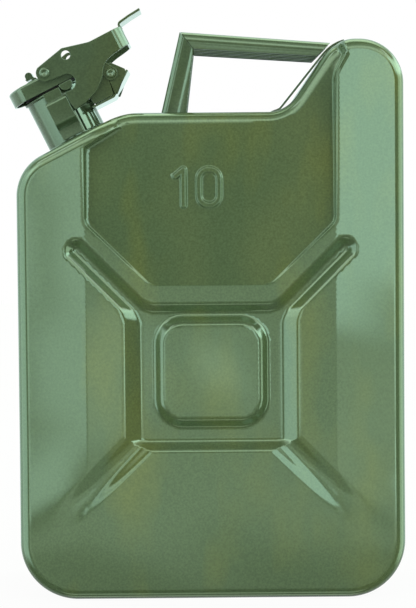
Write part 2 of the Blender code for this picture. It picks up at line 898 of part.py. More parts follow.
def make_yoke(hinge, centre):
    """Bridge over the cap whose two arms swing on the hinge pin."""
    arm_inner = cap_flat_layer + running_gap
    arm_outer = arm_inner + plate
    low = cap_high_n + running_gap
    top = [(yoke_front_s, low), (yoke_rear_s, low), (yoke_rear_s, low + plate),
           (yoke_front_s, low + plate)]
    middle = arm_inner + plate / 2
    yoke = add_object("cap_yoke", slab(moved(top, centre), -middle, middle), paint("cap_yoke"),
                      hinge)
    outline = moved(yoke_arm_outline(), centre)
    for name, side in (("front", front_side), ("rear", rear_side)):
        arm = layer_slab(outline, arm_inner, arm_outer, side)
        combine(yoke, add_tool("yoke_arm_" + name, arm, hinge), "UNION")
    reach = arm_outer + cut_overrun
    holes = (
        ("yoke_hinge_hole", hinge_s, hinge_n, hinge_pin_radius + running_gap),
        ("yoke_pivot_hole", lever_pivot_s, lever_pivot_n, rivet_radius + running_gap / 2),
    )
    for name, s, n, radius in holes:
        hole = turned([(radius, -reach), (radius, reach)], small_sides, "Y",
                      Vector((s, 0, n)) - centre)
        combine(yoke, add_tool(name, hole, hinge), "DIFFERENCE")
    stud_hole = stud_radius + running_gap
    hole = turned([(stud_hole, low - cut_overrun / 2), (stud_hole, low + plate + cut_overrun)],
                  small_sides, centre=Vector((lever_pivot_s, 0, 0)) - centre)
    combine(yoke, add_tool("yoke_stud_hole", hole, hinge), "DIFFERENCE")

    cheek_outer = arm_outer + running_gap + lever_plate
    for name, side in (("lever_rivet_front", front_side), ("lever_rivet_rear", rear_side)):
        head = cheek_outer + running_gap
        profile = [
            (rivet_radius, side * (arm_inner + running_gap)), (rivet_radius, side * head),
        ] + domed_head(rivet_head_radius, side * head, side * rivet_head_height)
        add_object(name, turned(profile, small_sides, "Y",
                                Vector((lever_pivot_s, 0, lever_pivot_n)) - centre),
                   paint(name), hinge)


def lever_outline():
    pivot = (lever_pivot_s, lever_pivot_n)
    notch = (notch_s, notch_n)
    jaw_angle = math.asin(min(1, (jaw_top_n - notch_n) / notch_radius - notch_mouth_share))
    points = arc(pivot, lever_end_radius, lever_end_start, lever_end_stop)
    points += [(notch_s - notch_radius, jaw_top_n), (notch_s, notch_n + notch_radius)]
    points += arc(notch, notch_radius, jaw_angle, notch_end_angle)
    points += [
        (claw_left_s, claw_tip_n), (claw_left_s + claw_taper_run, claw_low_n + claw_taper_rise),
        (claw_low_s, claw_low_n), (lever_heel_s, lever_heel_n),
    ]
    heel = Vector((lever_heel_s, lever_heel_n))
    waist = Vector((lever_waist_s, lever_waist_n))
    neck = Vector((lever_neck_s, lever_neck_n))
    low = heel.lerp(waist, lever_heel_share)
    high = waist.lerp(neck, lever_waist_share)
    points += [(low.x, low.y - lever_heel_bulge), tuple(waist)]
    points += [(high.x, high.y + lever_waist_bulge), tuple(neck)]
    points += [
        (lever_reach_s, lever_reach_n), (lever_reach_s, lever_top_n), (lever_brow_s, lever_top_n),
        (lever_apex_s, lever_apex_n),
    ]
    return points


def lever_plan(layer, reach, radius):
    """U shape of the lever seen from above, from one cheek round to the other."""
    start = lever_pivot_s - 2 * lever_end_radius
    quarter = math.pi / 2
    low = arc((reach - radius, -layer + radius), radius, -quarter, 0)
    high = arc((reach - radius, layer - radius), radius, 0, quarter)
    return [(start, -layer)] + low + high + [(start, layer)]


def make_lever(pivot, centre):
    inner = cap_flat_layer + plate + 2 * running_gap
    outer = inner + lever_plate
    outside = lever_plan(outer, lever_reach_s, lever_corner_radius)
    within = lever_plan(inner, lever_reach_s - lever_plate, lever_corner_radius - lever_plate)
    plan = outside + list(reversed(within))
    low = lever_heel_n - cut_overrun
    high = lever_apex_n + cut_overrun
    rings = [[Vector((s, y, n)) - centre for s, y in plan] for n in (low, high)]
    lever = add_object("cam_lever", loft(rings), paint("cam_lever"), pivot)
    side_view = slab(moved(lever_outline(), centre), -outer - cut_overrun, outer + cut_overrun)
    combine(lever, add_tool("lever_side_view", side_view, pivot), "INTERSECT")
    start = Vector((lever_reach_s - lever_plate, lever_top_n - lever_plate))
    route = [start, start + Vector((0, thumb_rise + lever_plate)),
             start + Vector((thumb_run, thumb_tip_rise + lever_plate / 2)),
             start + Vector((thumb_reach + lever_plate, thumb_tip_rise + lever_plate))]
    thumb = sheet_path(smooth_bends([tuple(p) for p in route], thumb_rise), lever_plate)
    half = thumb_half_width
    combine(lever, add_tool("lever_thumb", slab(moved(thumb, centre), -half, half), pivot), "UNION")
    reach = outer + cut_overrun
    holes = (
        ("lever_pivot_hole", lever_pivot_s, lever_pivot_n, rivet_radius + running_gap),
        ("lever_lock_hole", lock_hole_s, lock_hole_n, lock_hole_radius),
    )
    for name, s, n, radius in holes:
        hole = turned([(radius, -reach), (radius, reach)], small_sides, "Y",
                      Vector((s, 0, n)) - centre)
        combine(lever, add_tool(name, hole, pivot), "DIFFERENCE")


def make_bracket(neck_matrix):
    """Saddle welded to the neck, a bent web and two ears for the hinge pin."""
    ear_outer = cap_flat_layer + running_gap - weld_gap
    ear_inner = ear_outer - plate
    web_n = ear_low_n - web_drop
    slope = Vector((ear_rear_s - ear_heel_s, ear_rear_n - ear_heel_n)).normalized()
    start = (neck_radius + weld_gap, web_n)
    heel = (ear_heel_s - web_drop / 2, web_n)
    end = (ear_rear_s + plate * slope.x, ear_rear_n + plate * slope.y - plate / 2)
    web = sheet_path(smooth_bends([start, heel, end], web_drop), plate)
    bracket = add_object("hinge_bracket", slab(web, -ear_outer, ear_outer),
                         paint("hinge_bracket"), None, neck_matrix)
    ear = [(ear_front_s, ear_front_n), (ear_low_s, ear_low_n), (ear_heel_s, ear_low_n),
           (ear_heel_s + plate, ear_heel_n - plate), (ear_rear_s, ear_rear_n - plate),
           (ear_rear_s, ear_rear_n), (ear_top_s, ear_top_n)]
    for name, side in (("front", front_side), ("rear", rear_side)):
        slice_ = layer_slab(ear, ear_inner, ear_outer, side)
        combine(bracket, add_tool("bracket_ear_" + name, slice_, None, neck_matrix), "UNION")
    inner = neck_radius + weld_gap
    plan = arc((0, 0), inner, -saddle_half_angle, saddle_half_angle, arc_step)
    plan += reversed(arc((0, 0), inner + plate, -saddle_half_angle, saddle_half_angle, arc_step))
    rings = [[Vector((s, y, n)) for s, y in plan] for n in (saddle_low_n, saddle_high_n)]
    combine(bracket, add_tool("bracket_saddle", loft(rings), None, neck_matrix), "UNION")
    hole = hinge_pin_radius + running_gap / 2
    reach = ear_outer + cut_overrun
    tool = turned([(hole, -reach), (hole, reach)], small_sides, "Y", (hinge_s, 0, hinge_n))
    combine(bracket, add_tool("bracket_hole", tool, None, neck_matrix), "DIFFERENCE")

    head = cap_flat_layer + plate + 2 * running_gap
    rise = hinge_head_height
    round_off = hinge_head_radius * hinge_head_share
    profile = [(round_off, -head - rise), (hinge_head_radius, -head - rise / 2),
               (hinge_head_radius, -head), (hinge_pin_radius, -head), (hinge_pin_radius, head),
               (hinge_head_radius, head), (hinge_head_radius, head + rise / 2),
               (round_off, head + rise)]
    add_object("hinge_pin", turned(profile, small_sides, "Y", (hinge_s, 0, hinge_n)),
               paint("hinge_pin"), None, neck_matrix)


def make_latch_parts(neck_matrix):
    """Studs that the lever hooks pass, and the keeper plates beside them."""
    room = lip_radius + weld_gap
    turn = math.asin((latch_stud_top_n - latch_stud_n) / latch_stud_radius)
    stud_outline = arc((latch_stud_s, latch_stud_n), latch_stud_radius,
                       math.pi - turn, math.tau + turn)
    low = turned([(room, -neck_below_mouth), (room, cut_overrun)], turned_sides)
    tool = add_tool("latch_seat_cutter", low, None, neck_matrix)
    stud_outer = cap_flat_layer + running_gap + plate
    foot_layer = neck_radius + weld_gap
    for name, side in (("front", front_side), ("rear", rear_side)):
        stud = layer_slab(stud_outline, neck_radius / 2, stud_outer, side)
        thing = add_object("latch_stud_" + name, stud, paint("latch_stud_" + name), None,
                           neck_matrix)
        combine(thing, tool, "DIFFERENCE")
        stand = foot_layer + keeper_stand
        path = [(foot_layer, keeper_low_n), (foot_layer, keeper_step_low_n),
                (stand, keeper_step_high_n), (stand, keeper_top_n - plate),
                (foot_layer + plate, keeper_top_n - plate)]
        outline = sheet_path(path, plate)
        rings = [[Vector((s, side * y, n)) for y, n in outline]
                 for s in (keeper_left_s, keeper_right_s)]
        keeper = add_object("keeper_" + name, loft(rings), paint("keeper_" + name), None,
                            neck_matrix)
        half = keeper_lug_half_width
        lug = [(-half, keeper_lug_top_n)] + arc(
            (0, keeper_top_n + half / 2), half, math.pi, math.tau) + [(half, keeper_lug_top_n)]
        lug_piece = layer_slab(lug, lip_radius + weld_gap, stand - plate / 2, side)
        combine(keeper, add_tool("keeper_lug_" + name, lug_piece, None, neck_matrix), "UNION")


def channel(outer_a, inner_a, outer_b, inner_b, centre_y):
    """Pressed channel between two end lines; its closed side joins the outer points."""
    rings = []
    for outer, inner in ((outer_a, inner_a), (outer_b, inner_b)):
        outer, inner = Vector(outer), Vector(inner)
        height = (inner - outer).length
        half = handle_half_width
        edge = handle_edge
        skin = handle_sheet
        bite = edge * handle_edge_share
        section = [
            (-half, height), (-half, edge), (-half + bite, bite), (-half + edge, 0),
            (half - edge, 0), (half - bite, bite), (half, edge), (half, height),
            (half - skin, height), (half - skin, edge), (half - edge, skin),
            (-half + edge, skin), (-half + skin, edge), (-half + skin, height),
        ]
        way = (inner - outer).normalized()
        rings.append([
            Vector((outer.x + way.x * drop, centre_y + y, outer.y + way.y * drop))
            for y, drop in section
        ])
    return loft(rings)


def make_handles(can_matrix):
    corner = Vector((bar_left_x, flat_top_height + bar_left_rise))
    mitre = Vector((mitre_x, flat_top_height + mitre_rise))
    crown = Vector((hump_left_x + hump_inner_radius * math.tan(hump_slope_angle / 2),
                    hump_height - hump_inner_radius))
    reach = hump_inner_radius + weld_gap + handle_sheet
    end_top = Vector(arc(crown, reach + weld_gap, bar_end_angle, bar_end_angle)[0])
    end_low = end_top - Vector((bar_end_run, bar_end_drop))
    bar_way = (end_top - corner).normalized() * (weld_gap / 2)
    foot_z = flat_top_height + weld_gap
    foot_left = Vector((post_foot_left_x, foot_z))
    foot_right = Vector((post_foot_right_x, foot_z))
    post_way = (foot_left - corner).normalized() * (weld_gap / 2)

    strap_foot = (strap_foot_x, foot_z + handle_sheet)
    strap_low = Vector((strap_low_x, flat_top_height + strap_low_rise + handle_sheet))
    way = crown - strap_low
    rise = math.atan2(way.y, way.x) + math.asin(reach / way.length)
    seat = arc(crown, reach, rise + math.pi / 2, strap_end_angle)
    route = smooth_bends([strap_foot, tuple(strap_low), seat[0]], strap_bend_radius) + seat[1:]
    strap = sheet_path(route, handle_sheet)

    places = (("front", -handle_spacing), ("middle", 0), ("rear", handle_spacing))
    for name, y in places:
        bar = channel(corner + bar_way, mitre + bar_way, end_top, end_low, y)
        add_object("handle_bar_" + name, bar, paint("handle_bar_" + name), None, can_matrix)
        post = channel(corner + post_way, mitre + post_way, foot_left, foot_right, y)
        add_object("handle_post_" + name, post, paint("handle_post_" + name), None, can_matrix)
        low, high = y - handle_half_width, y + handle_half_width
        add_object("handle_strap_" + name, slab(strap, low, high), paint("handle_strap_" + name),
                   None, can_matrix)


def add_axis(name, parent, matrix):
    empty = bpy.data.objects.new(name, None)
    bpy.context.scene.collection.objects.link(empty)
    empty.parent = parent
    empty.matrix_local = matrix
    return empty


def build():
    clear_scene()
    can_matrix = Matrix.Translation((can_centre_x, 0, 0))
    mouth = Vector((can_centre_x + mouth_x, 0, mouth_z))
    neck_matrix = Matrix.Translation(mouth) @ Matrix.Rotation(-neck_lean, 4, "Y")
    make_shells(can_matrix, neck_matrix)
    make_seam_bead(can_matrix, neck_matrix)
    make_neck(neck_matrix)
    make_breather(neck_matrix)
    make_bracket(neck_matrix)
    make_latch_parts(neck_matrix)
    make_handles(can_matrix)

    hinge_centre = Vector((hinge_s, 0, hinge_n))
    pivot_centre = Vector((lever_pivot_s, 0, lever_pivot_n))
    hinge = add_axis("cap_hinge_axis", None, neck_matrix @ Matrix.Translation(hinge_centre))
    pivot = add_axis("lever_pivot_axis", hinge, Matrix.Translation(pivot_centre - hinge_centre))
    make_cap(hinge, hinge_centre)
    make_lift_tab(hinge, hinge_centre)
    make_yoke(hinge, hinge_centre)
    make_lever(pivot, pivot_centre)


build()
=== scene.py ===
"""Green enamelled steel jerry can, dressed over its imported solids.

X runs to the right of the front, Y to the back and Z up, in metres.
"""

import math

import bmesh
import bpy
import numpy as np
from mathutils import Matrix, Vector
from mathutils.geometry import delaunay_2d_cdt


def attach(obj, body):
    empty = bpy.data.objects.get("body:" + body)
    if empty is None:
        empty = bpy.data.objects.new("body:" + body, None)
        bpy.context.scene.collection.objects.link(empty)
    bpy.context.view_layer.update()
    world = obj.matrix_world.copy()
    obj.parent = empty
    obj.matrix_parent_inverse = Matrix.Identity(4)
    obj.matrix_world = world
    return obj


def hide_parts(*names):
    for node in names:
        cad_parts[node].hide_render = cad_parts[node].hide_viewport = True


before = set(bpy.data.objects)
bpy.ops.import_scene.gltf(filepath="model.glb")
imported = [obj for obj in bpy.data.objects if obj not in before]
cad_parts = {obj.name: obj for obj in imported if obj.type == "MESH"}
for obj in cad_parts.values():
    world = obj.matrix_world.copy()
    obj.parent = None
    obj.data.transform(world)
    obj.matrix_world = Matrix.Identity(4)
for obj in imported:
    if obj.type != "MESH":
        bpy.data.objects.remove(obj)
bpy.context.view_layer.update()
bpy.ops.object.select_all(action="DESELECT")

MM = 0.001
bpy.context.scene.view_settings.view_transform = "Standard"


# The can's main sizes, as its maker would write them

can_middle = 2.5 * MM
body_width = 268 * MM
body_depth = 128 * MM
flat_top = 338 * MM
hump_top = 387.4 * MM
hump_foot = 53.2 * MM
hump_slope = math.radians(55.5)
shoulder_radius = 26 * MM
shoulder_start = -60 * MM
shoulder_slope = math.radians(27.2)
edge_round = 8.2 * MM
sheet = 1.1 * MM

half_width = body_width / 2
half_depth = body_depth / 2
hump_start = hump_foot + (hump_top - flat_top) / math.tan(hump_slope)
left_corner = flat_top - (half_width + shoulder_start) * math.tan(shoulder_slope)

body_outline = (
    (-half_width, 0, 40 * MM),
    (half_width, 0, 40 * MM),
    (half_width, hump_top, 30.5 * MM),
    (hump_start, hump_top, shoulder_radius),
    (hump_foot, flat_top, 24 * MM),
    (shoulder_start, flat_top, 45 * MM),
    (-half_width, left_corner, 32 * MM),
)

rail_x = 86.6 * MM
rail_fall = 2.4 * MM
panel_foot = 218.1 * MM
panel_lean = math.tan(math.radians(5.6))
panel_wall = 2 * MM
panel_wall_start = -0.5 * MM
panel_outline = (
    (-rail_x, 313.8 * MM, 2.5 * MM),
    (-rail_x, 261.6 * MM, 10 * MM),
    (-41.5 * MM, panel_foot, 12 * MM),
    (41.5 * MM, panel_foot, 12 * MM),
    (rail_x, 261.6 * MM, 10 * MM),
    (rail_x, hump_top - 24 * MM, 22 * MM),
    (104 * MM, hump_top + 9 * MM, 2.5 * MM),
    (-40 * MM, hump_top + 9 * MM, 2.5 * MM),
    (-40 * MM, 342.4 * MM, 2.5 * MM),
)

number_middle = 286 * MM
number_half_height = 12.3 * MM

# Where the closure and the handles are drawn: the neck leans to the left of the can
neck_lean = math.radians(26.4)
closure_size = 1.085
neck_frame = (Matrix.Translation((can_middle - 112 * MM, 0, 355.3 * MM))
              @ Matrix.Rotation(-neck_lean, 4, "Y") @ Matrix.Scale(closure_size, 4))
can_frame = Matrix.Translation((can_middle, 0, 0))


# Lines and distances in the plane of the front

def rounded(corners, step, straights=True):
    """Points round a cornered outline, with the outward direction at each.

    Straight runs are split at each step too, unless straights is off.
    """
    walk = []
    for i, (x, z, radius) in enumerate(corners):
        corner = Vector((x, z))
        way_in = (corner - Vector(corners[i - 1][:2])).normalized()
        way_out = (Vector(corners[(i + 1) % len(corners)][:2]) - corner).normalized()
        turn = math.atan2(way_in.cross(way_out), way_in.dot(way_out))
        bend = 1 if turn > 0 else -1
        outward = Vector((way_in.y, -way_in.x))
        start = corner - way_in * (radius * math.tan(abs(turn) / 2))
        centre = start - outward * (radius * bend)
        count = max(2, math.ceil(abs(turn) * radius / step)) if radius else 0
        for k in range(count + 1):
            facing = Matrix.Rotation(turn * k / max(1, count), 2) @ outward
            walk.append((centre + facing * (radius * bend), facing))
    filled = []
    for (point, facing), (ahead, facing_ahead) in zip(walk, walk[1:] + walk[:1]):
        run = (ahead - point).length
        if run < step / 5:
            continue
        parts = max(1, round(run / step)) if straights else 1
        for k in range(parts):
            share = k / parts
            outward = facing.lerp(facing_ahead, share).normalized()
            filled.append((point.lerp(ahead, share), outward))
    return filled


def distance_to_line(points, line):
    """Distance from each point to a closed line, and whether it lies within it."""
    best = np.full(len(points), np.inf)
    within = np.zeros(len(points), dtype=bool)
    for a, b in zip(line, np.roll(line, -1, axis=0)):
        run = b - a
        share = np.clip(((points - a) @ run) / (run @ run), 0, 1)
        best = np.minimum(best, np.linalg.norm(points - a - share[:, None] * run, axis=1))
        crosses = (a[1] > points[:, 1]) != (b[1] > points[:, 1])
        rise = b[1] - a[1] if b[1] != a[1] else 1
        within ^= crosses & (points[:, 0] < run[0] * (points[:, 1] - a[1]) / rise + a[0])
    return best, within


def soft_step(t, rounding=0.3):
    """Rise from 0 to 1 over t with a straight slope and rounded ends."""
    t = np.clip(t, 0, 1)
    slope = 1 / (1 - rounding)
    low = slope * t ** 2 / (2 * rounding)
    high = 1 - slope * (1 - t) ** 2 / (2 * rounding)
    straight = slope * (t - rounding / 2)
    return np.where(t < rounding, low, np.where(t > 1 - rounding, high, straight))


def rounded_box(points, middle, half, radius):
    """Signed distance to a rounded rectangle, negative inside it."""
    reach = np.abs(points - middle) - half + radius
    outer = np.linalg.norm(np.maximum(reach, 0), axis=1)
    return outer + np.minimum(reach.max(axis=1), 0) - radius


def stick(points, start, end):
    """Distance to a straight run, and how far along it each point lies."""
    start, end = np.array(start), np.array(end)
    run = end - start
    share = np.clip(((points - start) @ run) / (run @ run), 0, 1)
    return np.linalg.norm(points - start - share[:, None] * run, axis=1), share


def join_softly(a, b, blend):
    """The smaller of two distances, with a fillet where they meet."""
    mix = np.clip(0.5 + (b - a) / (2 * blend), 0, 1)
    return b * (1 - mix) + a * mix - blend * mix * (1 - mix)


def pressed_cross(points):
    """Depth of the pressed ring and its four arms: two deep ones up, two that fade out down."""
    wall = 8.4 * MM
    spread = 0.6 * MM
    depth = 5.5 * MM
    side_wall = np.array((0.56, 1))  # the ring's side walls slope more gently
    ring_middle, ring_half = np.array((0, 154.95 * MM)), np.array((34.1 * MM, 51.55 * MM))
    square_middle, square_half = np.array((0, 158.7 * MM)), np.array((33 * MM, 32.3 * MM))
    arm_half = 8.6 * MM
    low_arm_half, low_arm_wall, low_arm_share = 12 * MM, 11.5 * MM, 0.42

    groove = rounded_box(points * side_wall, ring_middle, ring_half, 9 * MM)
    for side in (-1, 1):
        arm = stick(points, (side * 47 * MM, 197.8 * MM), (side * 92.5 * MM, 243.3 * MM))[0]
        groove = join_softly(groove, arm - arm_half, 5 * MM)
    square = rounded_box(points, square_middle, square_half, 13.5 * MM)
    outer = soft_step((spread - groove) / wall)
    inner = soft_step((square + spread) / wall)
    pressed = np.minimum(outer, inner)
    for side in (-1, 1):
        arm, share = stick(points, (side * 44 * MM, 115.7 * MM), (side * 108 * MM, 51.7 * MM))
        fading = low_arm_share * soft_step((low_arm_half - arm) / low_arm_wall, 0.45)
        fading = fading * (1 - soft_step(share, 0.45))
        pressed = np.maximum(pressed, fading * np.minimum(1, inner * 4))
    return depth * pressed


def number_strokes(points, side):
    """Height of the raised number ten on the panel, readable from its own side."""
    flat = points.copy()
    flat[:, 0] *= -side
    middle, half = number_middle, number_half_height
    height, stroke_half, stroke_wall = 1.5 * MM, 2.8 * MM, 1.7 * MM
    one_x = -18.4 * MM
    stem = stick(flat, (one_x, middle - half), (one_x, middle + half))[0]
    flag = stick(flat, (one_x, middle + half), (one_x - 5.5 * MM, middle + half - 4.5 * MM))[0]
    ring = rounded_box(flat, np.array((-0.7 * MM, middle)), np.array((7 * MM, half)), 6.8 * MM)
    strokes = np.minimum(np.minimum(stem, flag), np.abs(ring))
    return height * soft_step((stroke_half - strokes) / stroke_wall, 0.35)


def sheet_waves(points):
    """Slow dents that a large pressed sheet keeps, which bend its reflections."""
    x, z = points[:, 0], points[:, 1]
    waves = np.sin(x / (19 * MM) + 1.3 * np.sin(z / (31 * MM))) * np.sin(z / (23 * MM) + 0.7)
    slow = np.sin(z / (41 * MM) + x / (37 * MM))
    return 0.07 * MM * (1 + waves) + 0.10 * MM * (1 + slow)


def face_depth(points, side):
    """How far the pressed face lies behind the front plane, at (x, z) points."""
    beyond = np.clip((np.abs(points[:, 0]) - rail_x) / (half_width - rail_x), 0, None)
    rail = rail_fall * beyond * soft_step((points[:, 1] - 30 * MM) / (90 * MM), 0.45)
    line = np.array([tuple(p) for p, _ in rounded(panel_outline, MM, straights=False)])
    gap, within = distance_to_line(points, line)
    gap = np.where(within, gap, -gap)
    sunk = np.clip(points[:, 1] - panel_foot, 0, None) * panel_lean
    drop = soft_step((gap - panel_wall_start) / panel_wall, 0.35)
    depth = rail * (1 - drop) + sunk * drop + pressed_cross(points)
    depth = depth - number_strokes(points, side) * within
    return depth + sheet_waves(points)


def face_slope(points, side):
    """How fast the face falls back towards +X and +Z at (x, z) points."""
    step = 0.1 * MM
    slopes = []
    for way in (np.array((step, 0)), np.array((0, step))):
        drop = face_depth(points + way, side) - face_depth(points - way, side)
        slopes.append(drop / (2 * step))
    return np.stack(slopes, axis=1)


def staggered(cell):
    """Evenly spaced points in staggered rows over the whole face."""
    rows = np.arange(0, hump_top, cell * math.sqrt(3) / 2)
    across = np.arange(-half_width, half_width, cell)
    return np.array([(x + cell / 2 * (k % 2), z) for k, z in enumerate(rows) for x in across])


def face_plan(cell, fine):
    """Points and triangles over the face, with lines along the panel's crease.

    They are cell apart where the face is flat, fine apart where it is steep and
    finer still at the number. With fine as large as cell they are even.
    """
    steep_from = 0.16
    number_reach = 26 * MM, 16 * MM
    rim_step, crease_step = 1.9 * MM, 2.2 * MM
    crease_insets = (-0.5, 0, 0.5, 1, 1.5)
    walk = rounded(body_outline, rim_step)
    rim = np.array([tuple(p - facing * edge_round) for p, facing in walk])
    plan = [tuple(p) for p in rim]
    edges = [(i, (i + 1) % len(rim)) for i in range(len(rim))]
    crease = rounded(panel_outline, crease_step)
    crease_lines = []
    for inset in crease_insets:
        ring = np.array([tuple(p - facing * inset * MM) for p, facing in crease])
        near_rim, inside_rim = distance_to_line(ring, rim)
        keep = inside_rim & (near_rim > 0.4 * MM)
        for here, ahead in zip(range(len(ring)), list(range(1, len(ring))) + [0]):
            if keep[here] and keep[ahead]:
                edges.append((len(plan), len(plan) + 1))
                plan += [tuple(ring[here]), tuple(ring[ahead])]
        crease_lines.append(ring)
    crease_middle = crease_lines[len(crease_lines) // 2]
    for spacing, place in ((cell, "flat"), (fine, "steep"), (0.6 * fine, "number")):
        grid = staggered(spacing)
        if fine < cell:
            number = np.abs(grid[:, 0]) < number_reach[0]
            number &= np.abs(grid[:, 1] - number_middle) < number_reach[1]
            grid = grid[number == (place == "number")]
            if place != "number":
                steep = np.linalg.norm(face_slope(grid, -1), axis=1) > steep_from
                grid = grid[steep == (place == "steep")]
        elif place != "flat":
            break
        near, inside_rim = distance_to_line(grid, rim)
        crease_gap = distance_to_line(grid, crease_middle)[0]
        grid = grid[inside_rim & (near > 0.8 * spacing) & (crease_gap > MM + 0.6 * spacing)]
        plan += [tuple(p) for p in grid]
    flat, _, faces = delaunay_2d_cdt([Vector(p) for p in plan], edges, [], 0, 0.00001)[:3]
    flat = np.array([tuple(p) for p in flat])
    middles = np.array([flat[list(face)].mean(axis=0) for face in faces])
    inside_rim = distance_to_line(middles, rim)[1]
    kept = [face for face, ok in zip(faces, inside_rim) if ok]
    return flat, kept, walk, rim


def border_of(faces):
    """The open edges of a set of faces, each in its face's own direction."""
    seen = {}
    for face in faces:
        for a, b in zip(face, tuple(face[1:]) + (face[0],)):
            seen[(a, b)] = True
    return [(a, b) for a, b in seen if (b, a) not in seen]


def edge_path(wall, face_y):
    """Offset from the outline and height above the middle plane, from face to seam."""
    steps = 9
    radius = edge_round - wall
    path = []
    for k in range(1, steps + 1):
        angle = math.pi / 2 * k / steps
        fall = radius * (1 - math.cos(angle))
        path.append((edge_round - radius * math.sin(angle), face_y - fall))
    lip = 6.5 * MM + wall / 2
    groove = 6 * MM + wall
    flange = 6.2 * MM + wall
    path += [(wall, (lip + path[-1][1]) / 2), (wall, lip + 0.8 * MM)]
    path += [(wall + 0.3 * MM, lip + 0.2 * MM), (groove, 3 * MM + wall / 2)]
    path += [(flange, 2 * MM), (flange, 0.15 * MM)]
    return path


def pressed_shell(name, side, plans):
    """One half of the can: a dense outer skin and a coarse inner one, joined at the seam.

    The slopes of the pressing come from smooth curves that no extrude or bevel
    gives, so this one piece is set out in code.
    """
    bm = bmesh.new()
    seams = []
    for wall, plan in zip((0, sheet), plans):
        flat, faces, walk, rim = plan
        depth = half_depth - face_depth(flat, side) - wall
        used = sorted({i for face in faces for i in face})
        verts = {i: bm.verts.new((flat[i][0], side * depth[i], flat[i][1])) for i in used}
        for face in faces:
            bm.faces.new([verts[i] for i in face])
        nearest = {}
        for a, b in border_of(faces):
            for i in (a, b):
                if i not in nearest:
                    nearest[i] = int(np.argmin(np.linalg.norm(rim - flat[i], axis=1)))
        columns = {}
        for i, place in nearest.items():
            point, facing = walk[place]
            column = [verts[i]]
            for inset, height in edge_path(wall, depth[i]):
                spot = point - facing * inset
                column.append(bm.verts.new((spot.x, side * height, spot.y)))
            columns[i] = column
        for a, b in border_of(faces):
            for p, q, r, s in zip(columns[a], columns[a][1:], columns[b], columns[b][1:]):
                bm.faces.new((p, q, s, r))
        flange = {nearest[i]: column[-1] for i, column in columns.items()}
        seams.append((flange, [(nearest[a], nearest[b]) for a, b in border_of(faces)]))
    (outer, border), (inner, _) = seams
    for a, b in border:
        bm.faces.new((outer[a], outer[b], inner[b], inner[a]))
    bmesh.ops.recalc_face_normals(bm, faces=bm.faces)
    bmesh.ops.translate(bm, verts=bm.verts, vec=(can_middle, 0, 0))
    mesh = bpy.data.meshes.new(name)
    bm.to_mesh(mesh)
    bm.free()
    mesh.shade_smooth()
    shell = bpy.data.objects.new(name, mesh)
    bpy.context.scene.collection.objects.link(shell)
    return shell


def set_face_normals(shell, side):
    """Give the pressed face the exact normals of its curves, so that it shines without facets.

    Points off the face, round the edge and inside, keep their own normals.
    """
    slack = 0.01 * MM
    mesh = shell.data
    spots = np.empty(3 * len(mesh.vertices))
    mesh.vertices.foreach_get("co", spots)
    spots = spots.reshape(-1, 3)
    flat = np.stack((spots[:, 0] - can_middle, spots[:, 2]), axis=1)
    off_face = np.abs(side * spots[:, 1] - (half_depth - face_depth(flat, side)))
    slope = face_slope(flat, side)
    normals = np.stack((slope[:, 0], np.full(len(flat), float(side)), slope[:, 1]), axis=1)
    normals /= np.linalg.norm(normals, axis=1)[:, None]
    normals[off_face > slack] = 0
    mesh.normals_split_custom_set_from_vertices([tuple(n) for n in normals])


# Ways of working

def take(piece):
    """Select one piece alone and make it the active one."""
    bpy.ops.object.select_all(action="DESELECT")
    piece.select_set(True)
    bpy.context.view_layer.objects.active = piece


def open_mesh(piece):
    """Go into edit mode with everything selected."""
    take(piece)
    bpy.ops.object.mode_set(mode="EDIT")
    bpy.ops.mesh.select_mode(type="VERT")
    bpy.ops.mesh.select_all(action="SELECT")


def close_mesh():
    bpy.ops.object.mode_set(mode="OBJECT")


def choose(piece, kind, test):
    """In edit mode, select the vertices, edges or faces whose middle passes a test."""
    bpy.ops.mesh.select_mode(type=kind)
    bpy.ops.mesh.select_all(action="DESELECT")
    bm = bmesh.from_edit_mesh(piece.data)
    for part in {"VERT": bm.verts, "EDGE": bm.edges, "FACE": bm.faces}[kind]:
        verts = [part] if kind == "VERT" else part.verts
        part.select_set(bool(test(sum((v.co for v in verts), Vector()) / len(verts))))
    bm.select_flush_mode()
    bmesh.update_edit_mesh(piece.data)


def use_modifier(piece, kind, **settings):
    """Put a modifier on a piece and apply it."""
    take(piece)
    step = piece.modifiers.new(kind.lower(), kind)
    for key, value in settings.items():
        setattr(step, key, value)
    bpy.ops.object.modifier_apply(modifier=step.name)


def pull(x, y, z):
    bpy.ops.mesh.extrude_region_move(TRANSFORM_OT_translate={"value": (x, y, z)})


def dot(name, place):
    """A piece of one point, in edit mode, ready to be extruded."""
    bpy.ops.mesh.primitive_plane_add(size=MM, location=place)
    piece = bpy.context.object
    piece.name = name
    take(piece)
    bpy.ops.object.transform_apply(location=True, rotation=True, scale=True)
    open_mesh(piece)
    bpy.ops.mesh.merge(type="CENTER")
    return piece


def drawn(name, points, plane="XZ", start=0.0, depth=None):
    """Pull a point round an outline, fill it and extrude it from start by depth."""
    def at(point):
        a, b = point[0], point[1]
        return {"XZ": Vector((a, start, b)), "XY": Vector((a, b, start)),
                "YZ": Vector((start, a, b))}[plane]

    piece = dot(name, at(points[0]))
    for before, point in zip(points, points[1:]):
        pull(*(at(point) - at(before)))
    bpy.ops.mesh.select_all(action="SELECT")
    bpy.ops.mesh.edge_face_add()
    if depth:
        pull(*{"XZ": (0, depth, 0), "XY": (0, 0, depth), "YZ": (depth, 0, 0)}[plane])
        bpy.ops.mesh.select_all(action="SELECT")
        bpy.ops.mesh.normals_make_consistent(inside=False)
    close_mesh()
    return piece


def cut_off(piece, point, normal):
    """Slice a piece by a plane and drop the part that the normal points to."""
    open_mesh(piece)
    bpy.ops.mesh.bisect(plane_co=point, plane_no=normal, use_fill=True, clear_outer=True)
    close_mesh()


